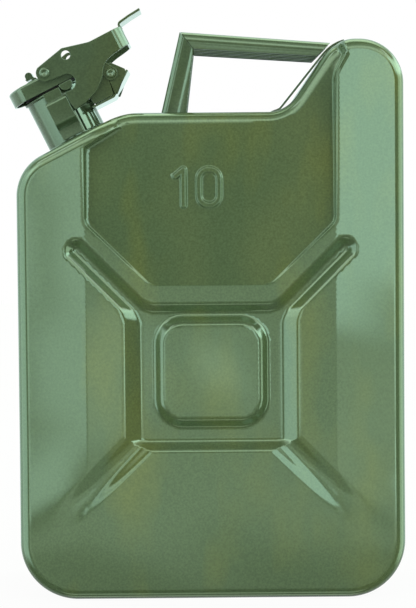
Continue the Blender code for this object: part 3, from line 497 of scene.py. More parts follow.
def arc(centre, radius, start, end, step=8):
    """Points on an arc, angles in degrees."""
    count = max(1, math.ceil(abs(end - start) / step))
    angles = [math.radians(start + (end - start) * i / count) for i in range(count + 1)]
    return [(centre[0] + radius * math.cos(a), centre[1] + radius * math.sin(a)) for a in angles]


def turned(name, profile, middle=(0, 0, 0), axis="Z", steps=48):
    """Spin a profile of (radius, height) points about an axis through middle.

    A profile that starts and ends on the axis gives a solid piece, any other
    profile is joined up into a ring.
    """
    middle = Vector(middle)
    up = {"Z": Vector((0, 0, 1)), "Y": Vector((0, 1, 0))}[axis]
    spots = [middle + Vector((radius, 0, 0)) + up * height for radius, height in profile]
    piece = dot(name, spots[0])
    ring = profile[0][0] > 0
    for before, spot in zip(spots, spots[1:] + (spots[:1] if ring else [])):
        pull(*(spot - before))
    bpy.ops.mesh.select_all(action="SELECT")
    bpy.ops.mesh.spin(steps=steps, angle=math.tau, center=middle, axis=up)
    bpy.ops.mesh.select_all(action="SELECT")
    bpy.ops.mesh.remove_doubles(threshold=0.00002)
    bpy.ops.mesh.normals_make_consistent(inside=False)
    bpy.ops.object.mode_set(mode="OBJECT")
    return piece


def with_tool(piece, tool, operation):
    """Cut, join or trim a piece with a tool, which is then thrown away."""
    bpy.context.view_layer.update()
    use_modifier(piece, "BOOLEAN", operation=operation, object=tool, solver="EXACT")
    bpy.data.objects.remove(tool)


def round_tool(radius, place):
    """A long cylinder to cut with, upright in its place."""
    bpy.ops.mesh.primitive_cylinder_add(vertices=64, radius=radius, depth=120 * MM)
    tool = bpy.context.object
    tool.matrix_world = place
    return tool


def drill(piece, radius, middle, axis="Y", reach=60 * MM):
    turn = {"Y": (math.pi / 2, 0, 0), "Z": (0, 0, 0)}[axis]
    bpy.ops.mesh.primitive_cylinder_add(vertices=32, radius=radius, depth=2 * reach,
                                        location=middle, rotation=turn)
    with_tool(piece, bpy.context.object, "DIFFERENCE")


def soften(piece, width, segments=2, angle=32):
    """Round the sharp edges, as pressing and paint do."""
    use_modifier(piece, "BEVEL", width=width, segments=segments, limit_method="ANGLE",
                 angle_limit=math.radians(angle), use_clamp_overlap=False)


def finish_piece(piece, body, replaced, place=None, finish=None):
    """Set a piece in its place on the can and hand it to its body."""
    smooth_below = math.radians(50)
    take(piece)
    if place:
        piece.matrix_world = place @ piece.matrix_world
        bpy.ops.object.transform_apply(location=True, rotation=True, scale=True)
    bpy.ops.object.shade_smooth_by_angle(angle=smooth_below)
    use_modifier(piece, "WEIGHTED_NORMAL", keep_sharp=True)
    piece.data.materials.clear()
    piece.data.materials.append(finish or fittings_green)
    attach(piece, body)
    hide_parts(replaced)


def copy_of(piece, name, shift=(0, 0, 0)):
    """A copy with a mesh of its own, moved by shift."""
    twin = piece.copy()
    twin.data = piece.data.copy()
    twin.name = name
    bpy.context.scene.collection.objects.link(twin)
    take(twin)
    twin.location = shift
    bpy.ops.object.transform_apply(location=True, rotation=False, scale=False)
    return twin


def other_side(piece, name):
    """Mirror a finished copy across the middle plane."""
    twin = copy_of(piece, name)
    take(twin)
    twin.scale = (1, -1, 1)
    bpy.ops.object.transform_apply(location=False, rotation=False, scale=True)
    open_mesh(twin)
    bpy.ops.mesh.normals_make_consistent(inside=False)
    close_mesh()
    return twin


def bent_sheet(path, thickness, radius):
    """Outline of a bent strip of sheet whose inner face follows a path, with round bends."""
    path = [Vector(p) for p in path]
    straight = 0.02
    longest_share = 0.48
    inner = path[:1]
    for before, corner, after in zip(path, path[1:], path[2:]):
        way_in, way_out = (corner - before).normalized(), (after - corner).normalized()
        turn = math.atan2(way_in.cross(way_out), way_in.dot(way_out))
        if abs(turn) < straight:
            inner.append(corner)
            continue
        side = 1 if turn > 0 else -1
        tangent = min(radius * math.tan(abs(turn) / 2),
                      longest_share * min((corner - before).length, (after - corner).length))
        size = tangent / math.tan(abs(turn) / 2)
        outward = Vector((way_in.y, -way_in.x))
        centre = corner - way_in * tangent - outward * (size * side)
        count = max(2, math.ceil(abs(turn) / math.radians(12)))
        for k in range(count + 1):
            facing = Matrix.Rotation(turn * k / count, 2) @ outward
            inner.append(centre + facing * (size * side))
    inner.append(path[-1])
    outer = []
    for i, here in enumerate(inner):
        way_in = (here - inner[i - 1]).normalized() if i else (inner[1] - here).normalized()
        way_out = (inner[i + 1] - here).normalized() if i < len(inner) - 1 else way_in
        ahead = (way_in + way_out).normalized()
        outer.append(here + Vector((ahead.y, -ahead.x)) * thickness)
    return [tuple(p) for p in inner] + [tuple(p) for p in reversed(outer)]


# Finishes

def colour(hex_value):
    """An sRGB hex value as the linear colour that shaders use."""
    parts = [int(hex_value[i:i + 2], 16) / 255 for i in (1, 3, 5)]
    return tuple(c / 12.92 if c <= 0.04045 else ((c + 0.055) / 1.055) ** 2.4 for c in parts) + (1,)


# The colour sockets of Blender's Mix node, whose names it shares with other kinds
MIX_A, MIX_B, MIX_RESULT = 6, 7, 2


def add_node(tree, kind, feeds=(), **settings):
    """Add a node, whose settings are its properties or inputs by name.

    Feeds are pairs of an input, by name or number, and what it takes: the output of
    another node or a plain value.
    """
    node = tree.nodes.new(kind)
    for key, value in settings.items():
        if hasattr(node, key):
            setattr(node, key, value)
        else:
            node.inputs[key.replace("_", " ")].default_value = value
    for place, source in feeds:
        if isinstance(source, bpy.types.NodeSocket):
            tree.links.new(source, node.inputs[place])
        else:
            node.inputs[place].default_value = source
    return node


def enamel(name, base, thin):
    """Sprayed alkyd gloss enamel on steel: deep green, wet shine, faint orange peel
    and slow drifts towards olive where the coat is thin."""
    drift_width, grain_width, peel_width = 38.46 * MM, 1.4286 * MM, 0.8333 * MM
    drift_stretch = (1, 1, 0.4)
    grain_swing = 0.16
    peel_height = 0.4 * MM
    finish = bpy.data.materials.new(name)
    finish.use_nodes = True
    tree = finish.node_tree
    shader = tree.nodes["Principled BSDF"]
    place = add_node(tree, "ShaderNodeTexCoord").outputs["Object"]
    tall = add_node(tree, "ShaderNodeMapping", [("Vector", place)], Scale=drift_stretch)
    drift = add_node(tree, "ShaderNodeTexNoise", [("Vector", tall.outputs["Vector"])],
                     Scale=1 / drift_width, Detail=2.5)
    thinness = add_node(tree, "ShaderNodeMapRange", [("Value", drift.outputs["Fac"])],
                        From_Min=0.5, From_Max=0.8)
    hue = add_node(tree, "ShaderNodeMix", [("Factor", thinness.outputs["Result"]),
                                           (MIX_A, colour(base)), (MIX_B, colour(thin))],
                   data_type="RGBA")
    grain = add_node(tree, "ShaderNodeTexNoise", [("Vector", place)],
                     Scale=1 / grain_width, Detail=2)
    speck = add_node(tree, "ShaderNodeMapRange", [("Value", grain.outputs["Fac"])], From_Min=0.3,
                     From_Max=0.7, To_Min=1 - grain_swing, To_Max=1 + grain_swing)
    tone = add_node(tree, "ShaderNodeMix", [(MIX_A, hue.outputs[MIX_RESULT]),
                                            (MIX_B, speck.outputs["Result"])],
                    data_type="RGBA", blend_type="MULTIPLY", Factor=1)
    tree.links.new(tone.outputs[MIX_RESULT], shader.inputs["Base Color"])
    peel = add_node(tree, "ShaderNodeTexNoise", [("Vector", place)],
                    Scale=1 / peel_width, Detail=1.5)
    bump = add_node(tree, "ShaderNodeBump", [("Height", peel.outputs["Fac"])],
                    Strength=0.02, Distance=peel_height)
    tree.links.new(bump.outputs["Normal"], shader.inputs["Normal"])
    shader.inputs["Roughness"].default_value = 0.06
    shader.inputs["IOR"].default_value = 1.62
    shader.inputs["Specular IOR Level"].default_value = 1
    shader.inputs["Specular Tint"].default_value = (0.72, 1, 0.8, 1)
    return finish


# Camera, lights and floor

def look_from(distance, rise, roll, target, lens):
    """Camera in front of the can, a little above its middle."""
    place = Vector((target[0], -distance * math.cos(rise), target[2] + distance * math.sin(rise)))
    bpy.ops.object.camera_add(location=place)
    camera = bpy.context.object
    facing = (Vector(target) - place).to_track_quat("-Z", "Y").to_matrix()
    camera.rotation_euler = (facing @ Matrix.Rotation(roll, 3, "Z")).to_euler()
    camera.data.lens = lens
    camera.data.sensor_width = 36
    camera.data.sensor_fit = "AUTO"
    camera.data.clip_start = 0.05
    bpy.context.scene.camera = camera


look_from(distance=1.5, rise=math.radians(3), roll=math.radians(-0.5),
          target=(0.4 * MM, 0, 202.3 * MM), lens=123.4)


# Soft boxes of the studio: azimuth from the front towards the right and height above the
# level, in degrees, as middle, half size and softness; then brightness and colour.
# An azimuth of 180 is behind the can.
soft_boxes = (
    ((-17.4, 6.6, 0.12), (1, 7.6, 0.8), 1.8, "#e8f6ee"),
    ((-8.4, 1.95, 0.12), (1, 7.6, 0.8), 1.8, "#e8f6ee"),
    ((-15.2, 8.8, 0.6), (-10, 2.6, 1.5), 0.65, "#f2f6e4"),
    ((16.5, 10.5, 0.4), (6.8, 10, 0.3), 2.65, "#e4f6f0"),
    ((21, 3, 2), (-4.4, 1.6, 0.3), 2.65, "#e4f6f0"),
    ((16.5, 10.5, 0.6), (-6.2, 2.8, 1), 1.0, "#f2f6e4"),
    ((0, 5.4, 0.6), (-4, 5.6, 0.8), 0.6, "#f2f6e4"),
    ((0, 30, 5), (-16, 9, 3), 0.3, "#f2f6e4"),
    ((0, 60, 20), (32, 12, 8), 2.3, "#f2f6e4"),
    ((0, 60, 20), (56, 9, 6), 0.5, "#f2f6e4"),
    ((0, 40, 20), (-67, 8, 5), 1.2, "#eef2d8"),
    ((180, 90, 10), (-86, 10, 4), 1.3, "#eef2d8"),
    ((-2.8, 0.9, 0.3), (-4.9, 1.6, 0.3), 0.65, "#e8f6ee"),
    ((0.3, 1.1, 0.4), (-4.8, 1.0, 0.4), 0.85, "#e8f6ee"),
    ((-0.55, 0.35, 0.25), (11, 4, 1), 0.45, "#e0b860"),
    ((2.3, 0.5, 0.3), (11.5, 3.5, 1), 0.6, "#e0b860"),
    ((-3.2, 0.5, 0.4), (12.6, 1.6, 0.8), 0.45, "#d8c468"),
    ((-68, 30, 8), (5, 30, 8), 2.2, "#e0f2ec"),
    ((86, 22, 8), (0, 30, 8), 2.2, "#e4f4dc"),
    ((90, 46, 5), (23, 10, 4), 3, "#dcf3ec"),
    ((66, 9, 5), (42, 9, 5), 2.5, "#f4f7f2"),
    ((-60, 7, 5), (50, 7, 5), 3.6, "#f4f7f2"),
    ((180, 80, 15), (35, 50, 12), 0.7, "#ccf8ee"),
    ((180, 80, 15), (68, 15, 8), 2.2, "#ecf4c8"),
)
room_grey = (0.12, 0.12, 0.11, 1)
sweep_white = (0.58, 0.58, 0.58, 1)


def light_studio():
    """World of the studio: white sweep, dim room and soft boxes, plain white to the camera."""
    sweep_from, sweep_to = -0.15, 0.35
    world = bpy.data.worlds.new("studio")
    bpy.context.scene.world = world
    world.use_nodes = True
    tree = world.node_tree
    out = tree.nodes["Background"]
    way = add_node(tree, "ShaderNodeTexCoord").outputs["Generated"]
    axes = add_node(tree, "ShaderNodeSeparateXYZ", [("Vector", way)])

    toward = add_node(tree, "ShaderNodeMath", [(0, axes.outputs["Y"]), (1, -1)],
                      operation="MULTIPLY")
    around = add_node(tree, "ShaderNodeMath", [(0, axes.outputs["X"]), (1, toward.outputs[0])],
                      operation="ARCTAN2")
    upward = add_node(tree, "ShaderNodeMath", [(0, axes.outputs["Z"])], operation="ARCSINE")
    azimuth, height = (
        add_node(tree, "ShaderNodeMath", [(0, angle.outputs[0]), (1, 180 / math.pi)],
                 operation="MULTIPLY").outputs[0] for angle in (around, upward))

    def window(angle, middle, half, soft):
        """Share of light by angle: all within half of the middle and none beyond it."""
        if middle == 180:
            angle = add_node(tree, "ShaderNodeMath", [(0, angle)], operation="ABSOLUTE").outputs[0]
        off = add_node(tree, "ShaderNodeMath", [(0, angle), (1, middle)], operation="SUBTRACT")
        away = add_node(tree, "ShaderNodeMath", [(0, off.outputs[0])], operation="ABSOLUTE")
        edge = add_node(tree, "ShaderNodeMapRange", [("Value", away.outputs[0])],
                        interpolation_type="SMOOTHSTEP", From_Min=half - soft,
                        From_Max=half + soft, To_Min=1.0, To_Max=0.0)
        return edge.outputs["Result"]

    # White sweep behind and above the can, dim room in front of it
    behind = add_node(tree, "ShaderNodeMapRange", [("Value", axes.outputs["Y"])],
                      interpolation_type="SMOOTHSTEP", From_Min=sweep_from, From_Max=sweep_to)
    room = add_node(tree, "ShaderNodeMix", [("Factor", behind.outputs["Result"]),
                                            (MIX_A, room_grey), (MIX_B, sweep_white)],
                    data_type="RGBA")
    total = room.outputs[MIX_RESULT]
    for across, up, power, tint in soft_boxes:
        patch = add_node(tree, "ShaderNodeMath", [(0, window(azimuth, *across)),
                                                  (1, window(height, *up))], operation="MULTIPLY")
        shine = add_node(tree, "ShaderNodeVectorMath", [(0, [c * power for c in colour(tint)[:3]]),
                                                        ("Scale", patch.outputs[0])],
                         operation="SCALE")
        total = add_node(tree, "ShaderNodeVectorMath", [(0, total), (1, shine.outputs[0])],
                         operation="ADD").outputs[0]
    seen = add_node(tree, "ShaderNodeLightPath").outputs["Is Camera Ray"]
    white = (1, 1, 1, 1)
    mix = add_node(tree, "ShaderNodeMix", [("Factor", seen), (MIX_A, total), (MIX_B, white)],
                   data_type="RGBA")
    tree.links.new(mix.outputs[MIX_RESULT], out.inputs["Color"])
    world.cycles.sampling_method = "MANUAL"
    world.cycles.sample_map_resolution = 1024


light_studio()


def lay_floor():
    """Plain white floor, which keeps a faint shadow."""
    floor_size, floor_height, glow_share = 8, -0.2 * MM, 0.95
    bpy.ops.mesh.primitive_plane_add(size=floor_size, location=(0, 0, floor_height))
    floor = bpy.context.object
    floor.name = "floor"
    paper = bpy.data.materials.new("white_paper")
    paper.use_nodes = True
    tree = paper.node_tree
    shader = tree.nodes["Principled BSDF"]
    shader.inputs["Base Color"].default_value = colour("#cbcbc9")
    shader.inputs["Roughness"].default_value = 0.9
    shader.inputs["Specular IOR Level"].default_value = 0
    glow = add_node(tree, "ShaderNodeEmission", Color=(1, 1, 1, 1), Strength=1.0)
    seen = add_node(tree, "ShaderNodeLightPath").outputs["Is Camera Ray"]
    share = add_node(tree, "ShaderNodeMath", [(0, seen), (1, glow_share)], operation="MULTIPLY")
    mix = add_node(tree, "ShaderNodeMixShader", [("Fac", share.outputs[0]), (1, shader.outputs[0]),
                                                 (2, glow.outputs[0])])
    tree.links.new(mix.outputs[0], tree.nodes["Material Output"].inputs["Surface"])
    floor.data.materials.append(paper)
    floor.visible_glossy = False


lay_floor()

green = enamel("alkyd_gloss_enamel", "#48583d", "#5c6334")
fittings_green = enamel("alkyd_gloss_enamel_on_fittings", "#44523c", "#4a522f")


def plain_finish(name, dark, light, roughness, metallic, mottle_width):
    """A matt material with a fine mottle between two shades."""
    roughness_swing = 0.08
    finish = bpy.data.materials.new(name)
    finish.use_nodes = True
    tree = finish.node_tree
    shader = tree.nodes["Principled BSDF"]
    place = add_node(tree, "ShaderNodeTexCoord").outputs["Object"]
    mottle = add_node(tree, "ShaderNodeTexNoise", [("Vector", place)],
                      Scale=1 / mottle_width, Detail=3)
    lightness = add_node(tree, "ShaderNodeMapRange", [("Value", mottle.outputs["Fac"])],
                         From_Min=0.3, From_Max=0.7)
    shade = add_node(tree, "ShaderNodeMix", [("Factor", lightness.outputs["Result"]),
                                             (MIX_A, colour(dark)), (MIX_B, colour(light))],
                     data_type="RGBA")
    tree.links.new(shade.outputs[MIX_RESULT], shader.inputs["Base Color"])
    rough = add_node(tree, "ShaderNodeMapRange", [("Value", mottle.outputs["Fac"])],
                     To_Min=roughness - roughness_swing, To_Max=roughness + roughness_swing)
    tree.links.new(rough.outputs["Result"], shader.inputs["Roughness"])
    shader.inputs["Metallic"].default_value = metallic
    return finish


# Moulded nitrile rubber: near black, with the dull bloom of fuel-proof gaskets
rubber = plain_finish("moulded_nitrile_rubber", "#141415", "#232324", 0.6, 0, 1.667 * MM)
# Electroplated zinc: pale grey metal, its mottle the spangle of a bright dip
zinc = plain_finish("electroplated_zinc", "#8f9192", "#b4b6b5", 0.38, 1, 3.846 * MM)


# Closure, drawn in the neck's own frame: s towards the handles, n out along the neck

def mm(*values):
    return tuple(v * MM for v in values)


pin_spot, pin_view = mm(40.1, 0, -8), mm(40.1, -8)
rivet_spot, rivet_view = mm(1.9, 0, 11.5), mm(1.9, 11.5)
stud_spot = mm(1.9, 0, 0)
# Pin and rivets are held in tight holes, and running holes turn on them
tight_hole = 2.15 * MM
running_hole = 2.3 * MM
stud_hole = 3.3 * MM
plate = 1.4 * MM
neck_bore = 19.5 * MM
saddle_outside = 20.9 * MM


def side_line(corners, step=0.45):
    """A rounded outline from (s, n, radius) corners in millimetres."""
    corners = [(s * MM, n * MM, r * MM) for s, n, r in corners]
    return [tuple(p) for p, _ in rounded(corners, step * MM, straights=False)]


def make_neck():
    """Drawn tube with a rolled lip, and the weld flange at its foot."""
    lip = arc(mm(19.4, -1.15), 1.15 * MM, -80, 90, 15)
    wall = [mm(18, -40.1), mm(19.2, -40.1), mm(19.2, -2.3)]
    tube = turned("neck_tube_drawn", wall + lip + [mm(18.6, -0.05), mm(18, -0.7)], steps=72)
    finish_piece(tube, "can", "neck_tube", neck_frame)

    weld = [mm(19.5, -33.7), mm(19.9, -34.1), mm(20.6, -34.8), mm(21.9, -35), mm(23, -35.1),
            mm(23.2, -35.3), mm(23.1, -35.5), mm(19.5, -35.5)]
    flange = turned("neck_flange", weld, steps=72)
    finish_piece(flange, "can", "neck_collar", neck_frame)


def make_bracket():
    """Saddle round the back of the neck with a bent web and two ears."""
    ear = side_line([(19, -5, 1), (21.4, -21, 0.6), (36.4, -21, 0.8), (38, -22, 0.8),
                     (49.3, -11.4, 0.6), (49.6, -9.4, 0.9), (42.9, -1.4, 1.6)])
    bracket = drawn("hinge_bracket_pressed", ear, start=-saddle_outside, depth=plate)
    with_tool(bracket, drawn("ear", ear, start=neck_bore, depth=plate), "UNION")
    web = bent_sheet([mm(19.5, -21.5), mm(34.9, -21.5), mm(50.2, -10.2)], plate, 1.5 * MM)
    with_tool(bracket, drawn("web", web, start=-saddle_outside, depth=2 * saddle_outside), "UNION")
    plan = arc((0, 0), neck_bore, -62, 62, 4) + arc((0, 0), saddle_outside, 62, -62, 4)
    saddle_foot, saddle_height = -33.4 * MM, 15.4 * MM
    with_tool(bracket, drawn("saddle", plan, "XY", saddle_foot, saddle_height), "UNION")
    drill(bracket, tight_hole, pin_spot)
    soften(bracket, 0.3 * MM)
    finish_piece(bracket, "can", "hinge_bracket", neck_frame)

    half = [mm(0, 23.3), mm(1.1, 23.45), mm(1.5, 24.0), mm(2.1, 24.15), mm(2.7, 23.9),
            mm(3, 23.3), mm(3, 22.9), mm(2, 22.9)]
    whole = half + [(r, -h) for r, h in reversed(half)]
    pin = turned("hinge_pin_headed", whole, pin_spot, "Y", 32)
    finish_piece(pin, "can", "hinge_pin", neck_frame)


def make_keeper():
    """Folded keeper plate and the stud above it, on each side of the neck."""
    path = [mm(-19.5, -33), mm(-19.5, -25.3), mm(-23.4, -21.5), mm(-23.4, -8.3), mm(-20.9, -8.3)]
    folded = bent_sheet(path, -plate, 0.8 * MM)
    keeper = drawn("keeper_folded_front", folded, "YZ", -7.1 * MM, 14.6 * MM)
    lug = [mm(-5.8, -0.7)] + arc(mm(0, -4.0), 5.8 * MM, 180, 360, 10) + [mm(5.8, -0.7)]
    with_tool(keeper, drawn("lug", lug, start=-22.7 * MM, depth=1.8 * MM), "UNION")
    soften(keeper, 0.3 * MM)
    finish_piece(keeper, "can", "keeper_front", neck_frame)
    twin = other_side(keeper, "keeper_folded_rear")
    finish_piece(twin, "can", "keeper_rear")

    # The stud is a disc with a flat above its middle, seated on the round of the neck
    stud_radius, stud_flat = 4.5 * MM, 1 * MM
    flat_end = math.degrees(math.asin(stud_flat / stud_radius))
    stud_line = arc(mm(10.8, -0.4), stud_radius, 180 - flat_end, 360 + flat_end, 8)
    stud = drawn("latch_stud_turned_front", stud_line, start=-22.6 * MM, depth=10 * MM)
    with_tool(stud, round_tool(saddle_outside, Matrix()), "DIFFERENCE")
    soften(stud, 0.5 * MM, 3)
    finish_piece(stud, "can", "latch_stud_front", neck_frame)
    twin = other_side(stud, "latch_stud_turned_rear")
    finish_piece(twin, "can", "latch_stud_rear")


def make_cap():
    """Stamped cap with two flats, a rolled shoulder and a hollow underside."""
    radius, flat = 27 * MM, 20.9 * MM
    foot, tall, hollow, slack = 1 * MM, 9.8 * MM, 8.4 * MM, 0.01 * MM
    reach = math.degrees(math.asin(flat / radius))
    plan = arc((0, 0), radius, -reach, reach, 5) + arc((0, 0), radius, 180 - reach, 180 + reach, 5)
    cap = drawn("cap_stamped", plan, "XY", foot, tall)
    open_mesh(cap)
    choose(cap, "FACE", lambda p: p.z < foot + slack)
    bpy.ops.mesh.inset(thickness=plate)
    pull(0, 0, hollow)
    close_mesh()
    drill(cap, stud_hole, stud_spot, "Z")
    open_mesh(cap)
    choose(cap, "EDGE", lambda p: p.z > foot + tall - slack and math.hypot(p.x, p.y) > 15 * MM)
    bpy.ops.mesh.bevel(offset=1.6 * MM, segments=4, profile=0.5)
    close_mesh()
    soften(cap, 0.3 * MM)
    finish_piece(cap, "cap", "cap", neck_frame)

    head = [mm(0, 15), mm(2, 14.8), mm(3.6, 14.4), mm(4.7, 13.7), mm(5, 12.8), mm(3, 12.8),
            mm(3, 5.4), mm(0, 5.4)]
    stud = turned("cap_stud_riveted", head, stud_spot, "Z", 32)
    finish_piece(stud, "cap", "cap_stud", neck_frame)

    roll = arc(mm(-9.1, 15.6), 2.5 * MM, -20, 200, 12) + [mm(-12.2, 14.4), mm(-11.8, 13.1)]
    base = [mm(-8.6, 13.2), mm(-8.2, 12.4), mm(-12.4, 12), mm(-12.4, 11.1), mm(-5, 11.1),
            mm(-5, 12.6), mm(-6.3, 13.4)]
    tab_half = 8 * MM
    tab = drawn("cap_tab_curled", roll + base, start=-tab_half, depth=2 * tab_half)
    soften(tab, 0.25 * MM)
    finish_piece(tab, "cap", "cap_lift_tab", neck_frame)


def make_yoke():
    """Bridge over the cap with two arms down to the hinge pin."""
    half, eye = 21.9 * MM, 4.4 * MM
    top = [mm(-3, 11.1), mm(31, 11.1), mm(31, 12.5), mm(-3, 12.5)]
    yoke = drawn("cap_yoke_pressed", top, start=-half, depth=2 * half)
    arm = (arc(rivet_view, eye, 90, 270) + [mm(22.2, 7.1)]
           + arc(pin_view, eye, 180, 390) + [mm(34, 10.2), mm(31, 12.5), mm(10.7, 12.5)])
    for start in mm(-22.6, 21.2):
        with_tool(yoke, drawn("arm", arm, start=start, depth=plate), "UNION")
    drill(yoke, running_hole, pin_spot)
    drill(yoke, tight_hole, rivet_spot)
    drill(yoke, stud_hole, mm(1.9, 0, 12), "Z", 6 * MM)
    soften(yoke, 0.3 * MM)
    finish_piece(yoke, "cap", "cap_yoke", neck_frame)

    head = [mm(0, 25.4), mm(1.3, 25.5), mm(1.8, 26.05), mm(2.4, 26.2), mm(3.1, 25.9),
            mm(3.5, 25.2), mm(3.5, 24.8), mm(2, 24.8), mm(2, 21.5), mm(0, 21.5)]
    for name, side in (("front", -1), ("rear", 1)):
        profile = [(r, side * h) for r, h in head]
        rivet = turned("lever_rivet_set_" + name, profile, rivet_spot, "Y", 32)
        finish_piece(rivet, "cap", "lever_rivet_" + name, neck_frame)


def channel_section(half, radius, wall, depth, fold, fold_depth, up):
    """U section with round corners, open at the far side, with a shallow groove along each leg."""
    def side(inset):
        small = radius - inset
        run = [(-half + inset, depth), (-half + fold + inset, fold_depth + 2 * fold),
               (-half + inset, fold_depth)]
        run += [(-half + radius - small * math.cos(a), radius - small * math.sin(a))
                for a in np.linspace(0, math.pi / 2, 8)]
        return run + [(-y, d) for y, d in reversed(run)]

    return [(y, -up * d) for y, d in side(0) + list(reversed(side(wall)))]


def make_handles():
    """Three bars and posts of folded channel, each with a strap down to the top of the can."""
    corner, mitre = Vector(mm(-20.3, 0, 394.7)), Vector(mm(-10.9, 0, 382.5))
    end_top, end_low = Vector(mm(85.1, 0, 386.2)), Vector(mm(75.3, 0, 376.7))
    foot_left, foot_right = Vector(mm(-33.6, 0, 338.3)), Vector(mm(-16.2, 0, 338.3))
    across = Vector((0, 1, 0))

    def channel(name, way, section, cuts):
        piece = drawn(name, section, "YZ", stock_start, stock_length)
        slope = math.atan2(-way.z, way.x)
        piece.matrix_world = Matrix.Translation(corner) @ Matrix.Rotation(slope, 4, "Y")
        take(piece)
        bpy.ops.object.transform_apply(location=True, rotation=True, scale=True)
        for point, normal in cuts:
            cut_off(piece, point, normal)
        soften(piece, paint_round)
        return piece

    half, fold, paint_round, gap = 8 * MM, 0.35 * MM, 0.22 * MM, 0.15 * MM
    stock_start, stock_length = -20 * MM, 160 * MM
    spacing = 30 * MM
    seam = (mitre - corner).cross(across).normalized()
    end = (end_top - end_low).cross(across).normalized()
    under = (end_low - mitre).cross(across).normalized()
    bar = channel("handle_bar_folded", end_top - corner,
                  channel_section(half, 5.7 * MM, plate, 24 * MM, fold, 7.6 * MM, 1),
                  [(corner + seam * gap, -seam), (end_top, -end), (mitre, -under)])
    inside = (foot_right - mitre).cross(across).normalized()
    post = channel("handle_post_folded", foot_left - corner,
                   channel_section(half, 4.2 * MM, plate, 26 * MM, fold, 10.5 * MM, -1),
                   [(corner - seam * gap, seam), (foot_left, Vector((0, 0, -1))), (mitre, inside)])
    shoulder = (hump_start + shoulder_radius * math.tan(hump_slope / 2),
                hump_top - shoulder_radius)
    strap_radius = shoulder_radius + 1.7 * MM
    route = [mm(43, 338.7), mm(48.8, 340.8)] + arc(shoulder, strap_radius, 140.4, 104, 10)
    bent = bent_sheet(route, plate, 6 * MM)
    strap = drawn("handle_strap_bent", bent, start=-half, depth=2 * half)
    soften(strap, paint_round)
    for master, node in ((bar, "handle_bar_"), (post, "handle_post_"), (strap, "handle_strap_")):
        for name, row in (("front", -1), ("middle", 0), ("rear", 1)):
            piece = copy_of(master, master.name + "_" + name, (0, row * spacing, 0))
            finish_piece(piece, "can", node + name, can_frame)
        bpy.data.objects.remove(master)


def make_seam_bead():
    """Round weld bead in the bottom of the sunk seam, left out under the neck."""
    inset, radius, step = 4.6 * MM, 1.1 * MM, 3 * MM
    opening = 23.5 * MM
    line = [p - facing * inset for p, facing in rounded(body_outline, step)]
    bead = dot("seam_bead_welded", (line[0].x, 0, line[0].y))
    for before, point in zip(line, line[1:]):
        pull(point.x - before.x, 0, point.y - before.y)
    bpy.ops.mesh.select_all(action="SELECT")
    bpy.ops.mesh.edge_face_add()
    bpy.ops.mesh.delete(type="ONLY_FACE")
    close_mesh()
    take(bead)
    bpy.ops.object.convert(target="CURVE")
    bead.data.bevel_depth = radius
    bead.data.bevel_resolution = 3
    bpy.ops.object.convert(target="MESH")
    bead.matrix_world = can_frame
    bpy.ops.object.transform_apply(location=True, rotation=True, scale=True)
    with_tool(bead, round_tool(opening, neck_frame), "DIFFERENCE")
    finish_piece(bead, "can", "seam_bead", finish=green)


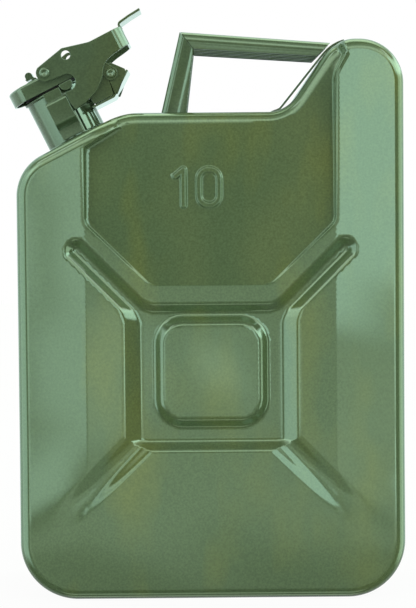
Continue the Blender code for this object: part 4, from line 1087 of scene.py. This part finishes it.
def make_lever():
    """Cam lever: a plate bent to a U, cut to its side view, with a curled thumb tab."""
    gauge = 1.6 * MM
    thumb_half = 16 * MM
    lock_hole, lock_spot = 2.95 * MM, mm(19.4, 0, 15.6)

    def bow(inset):
        """The bent plate from above, at its outside or so far in from it."""
        open_end = -12 * MM
        half, reach, radius = (v * MM - inset for v in (24.5, 59.6, 7.5))
        low = arc((reach - radius, radius - half), radius, -90, 0, 9)
        high = arc((reach - radius, half - radius), radius, 0, 90, 9)
        return [(open_end, -half)] + low + high + [(open_end, half)]

    plan = bow(0) + list(reversed(bow(gauge)))
    lever = drawn("cam_lever_pressed", plan, "XY", -24 * MM, 50 * MM)
    notch = arc(mm(12.2, -0.6), 5.5 * MM, 80, -80, 8)
    end = arc(rivet_view, 5.6 * MM, 118, 262, 8)
    # Claw, lower edge, bend and upper edge, then two closing corners that are left out again
    edge = side_line([(7.9, -6.0, 0.4), (7.9, -13.5, 4), (9.2, -18.6, 1.2), (16.9, -17.7, 3),
                      (26.5, -14.4, 14), (33.9, -8.3, 6), (39.5, 0.2, 12), (47.7, 2.1, 6),
                      (62, 4.2, 0), (62, 16.6, 0), (36.6, 16.3, 14), (18.6, 20.8, 1.6),
                      (10, 16.5, 0), (10, -3, 0)], 0.6)
    outline = end + [mm(6.7, 5.1), mm(12.2, 4.9)] + notch[1:] + edge[:-2]
    side_view = drawn("lever_side_view", outline, start=-30 * MM, depth=60 * MM)
    with_tool(lever, side_view, "INTERSECT")
    curl = [mm(58, 14.7), mm(58, 19.8), mm(67, 21.2), mm(75.6, 21.9)]
    thumb = bent_sheet(curl, gauge, 4 * MM)
    with_tool(lever, drawn("thumb", thumb, start=-thumb_half, depth=2 * thumb_half), "UNION")
    drill(lever, running_hole, rivet_spot)
    drill(lever, lock_hole, lock_spot)
    soften(lever, 0.35 * MM)
    finish_piece(lever, "lever", "cam_lever", neck_frame)


# Build

make_neck()
make_bracket()
make_keeper()
make_cap()
make_yoke()
make_lever()
make_handles()
make_seam_bead()

# The outer skin is finest where the pressing is steep, the inner one coarse and even.
skin_cells = ((2 * MM, 0.85 * MM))
lining_cells = (6 * MM, 6 * MM)
plans = [face_plan(*skin_cells), face_plan(*lining_cells)]
for name, side in (("front", -1), ("rear", 1)):
    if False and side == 1:
        continue
    shell = pressed_shell("pressed_shell_" + name, side, plans)
    with_tool(shell, round_tool(neck_bore, neck_frame), "DIFFERENCE")
    set_face_normals(shell, side)
    shell.data.materials.append(green)
    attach(shell, "can")
    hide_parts(name + "_shell")

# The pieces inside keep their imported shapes, in their own finishes
plain_nodes = {"breather_tube": zinc, "press_plate": zinc, "cap_gasket": rubber}
for name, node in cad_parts.items():
    finish = plain_nodes.get(name, green)
    if not node.material_slots:
        node.data.materials.append(finish)
    for slot in node.material_slots:
        slot.material = finish
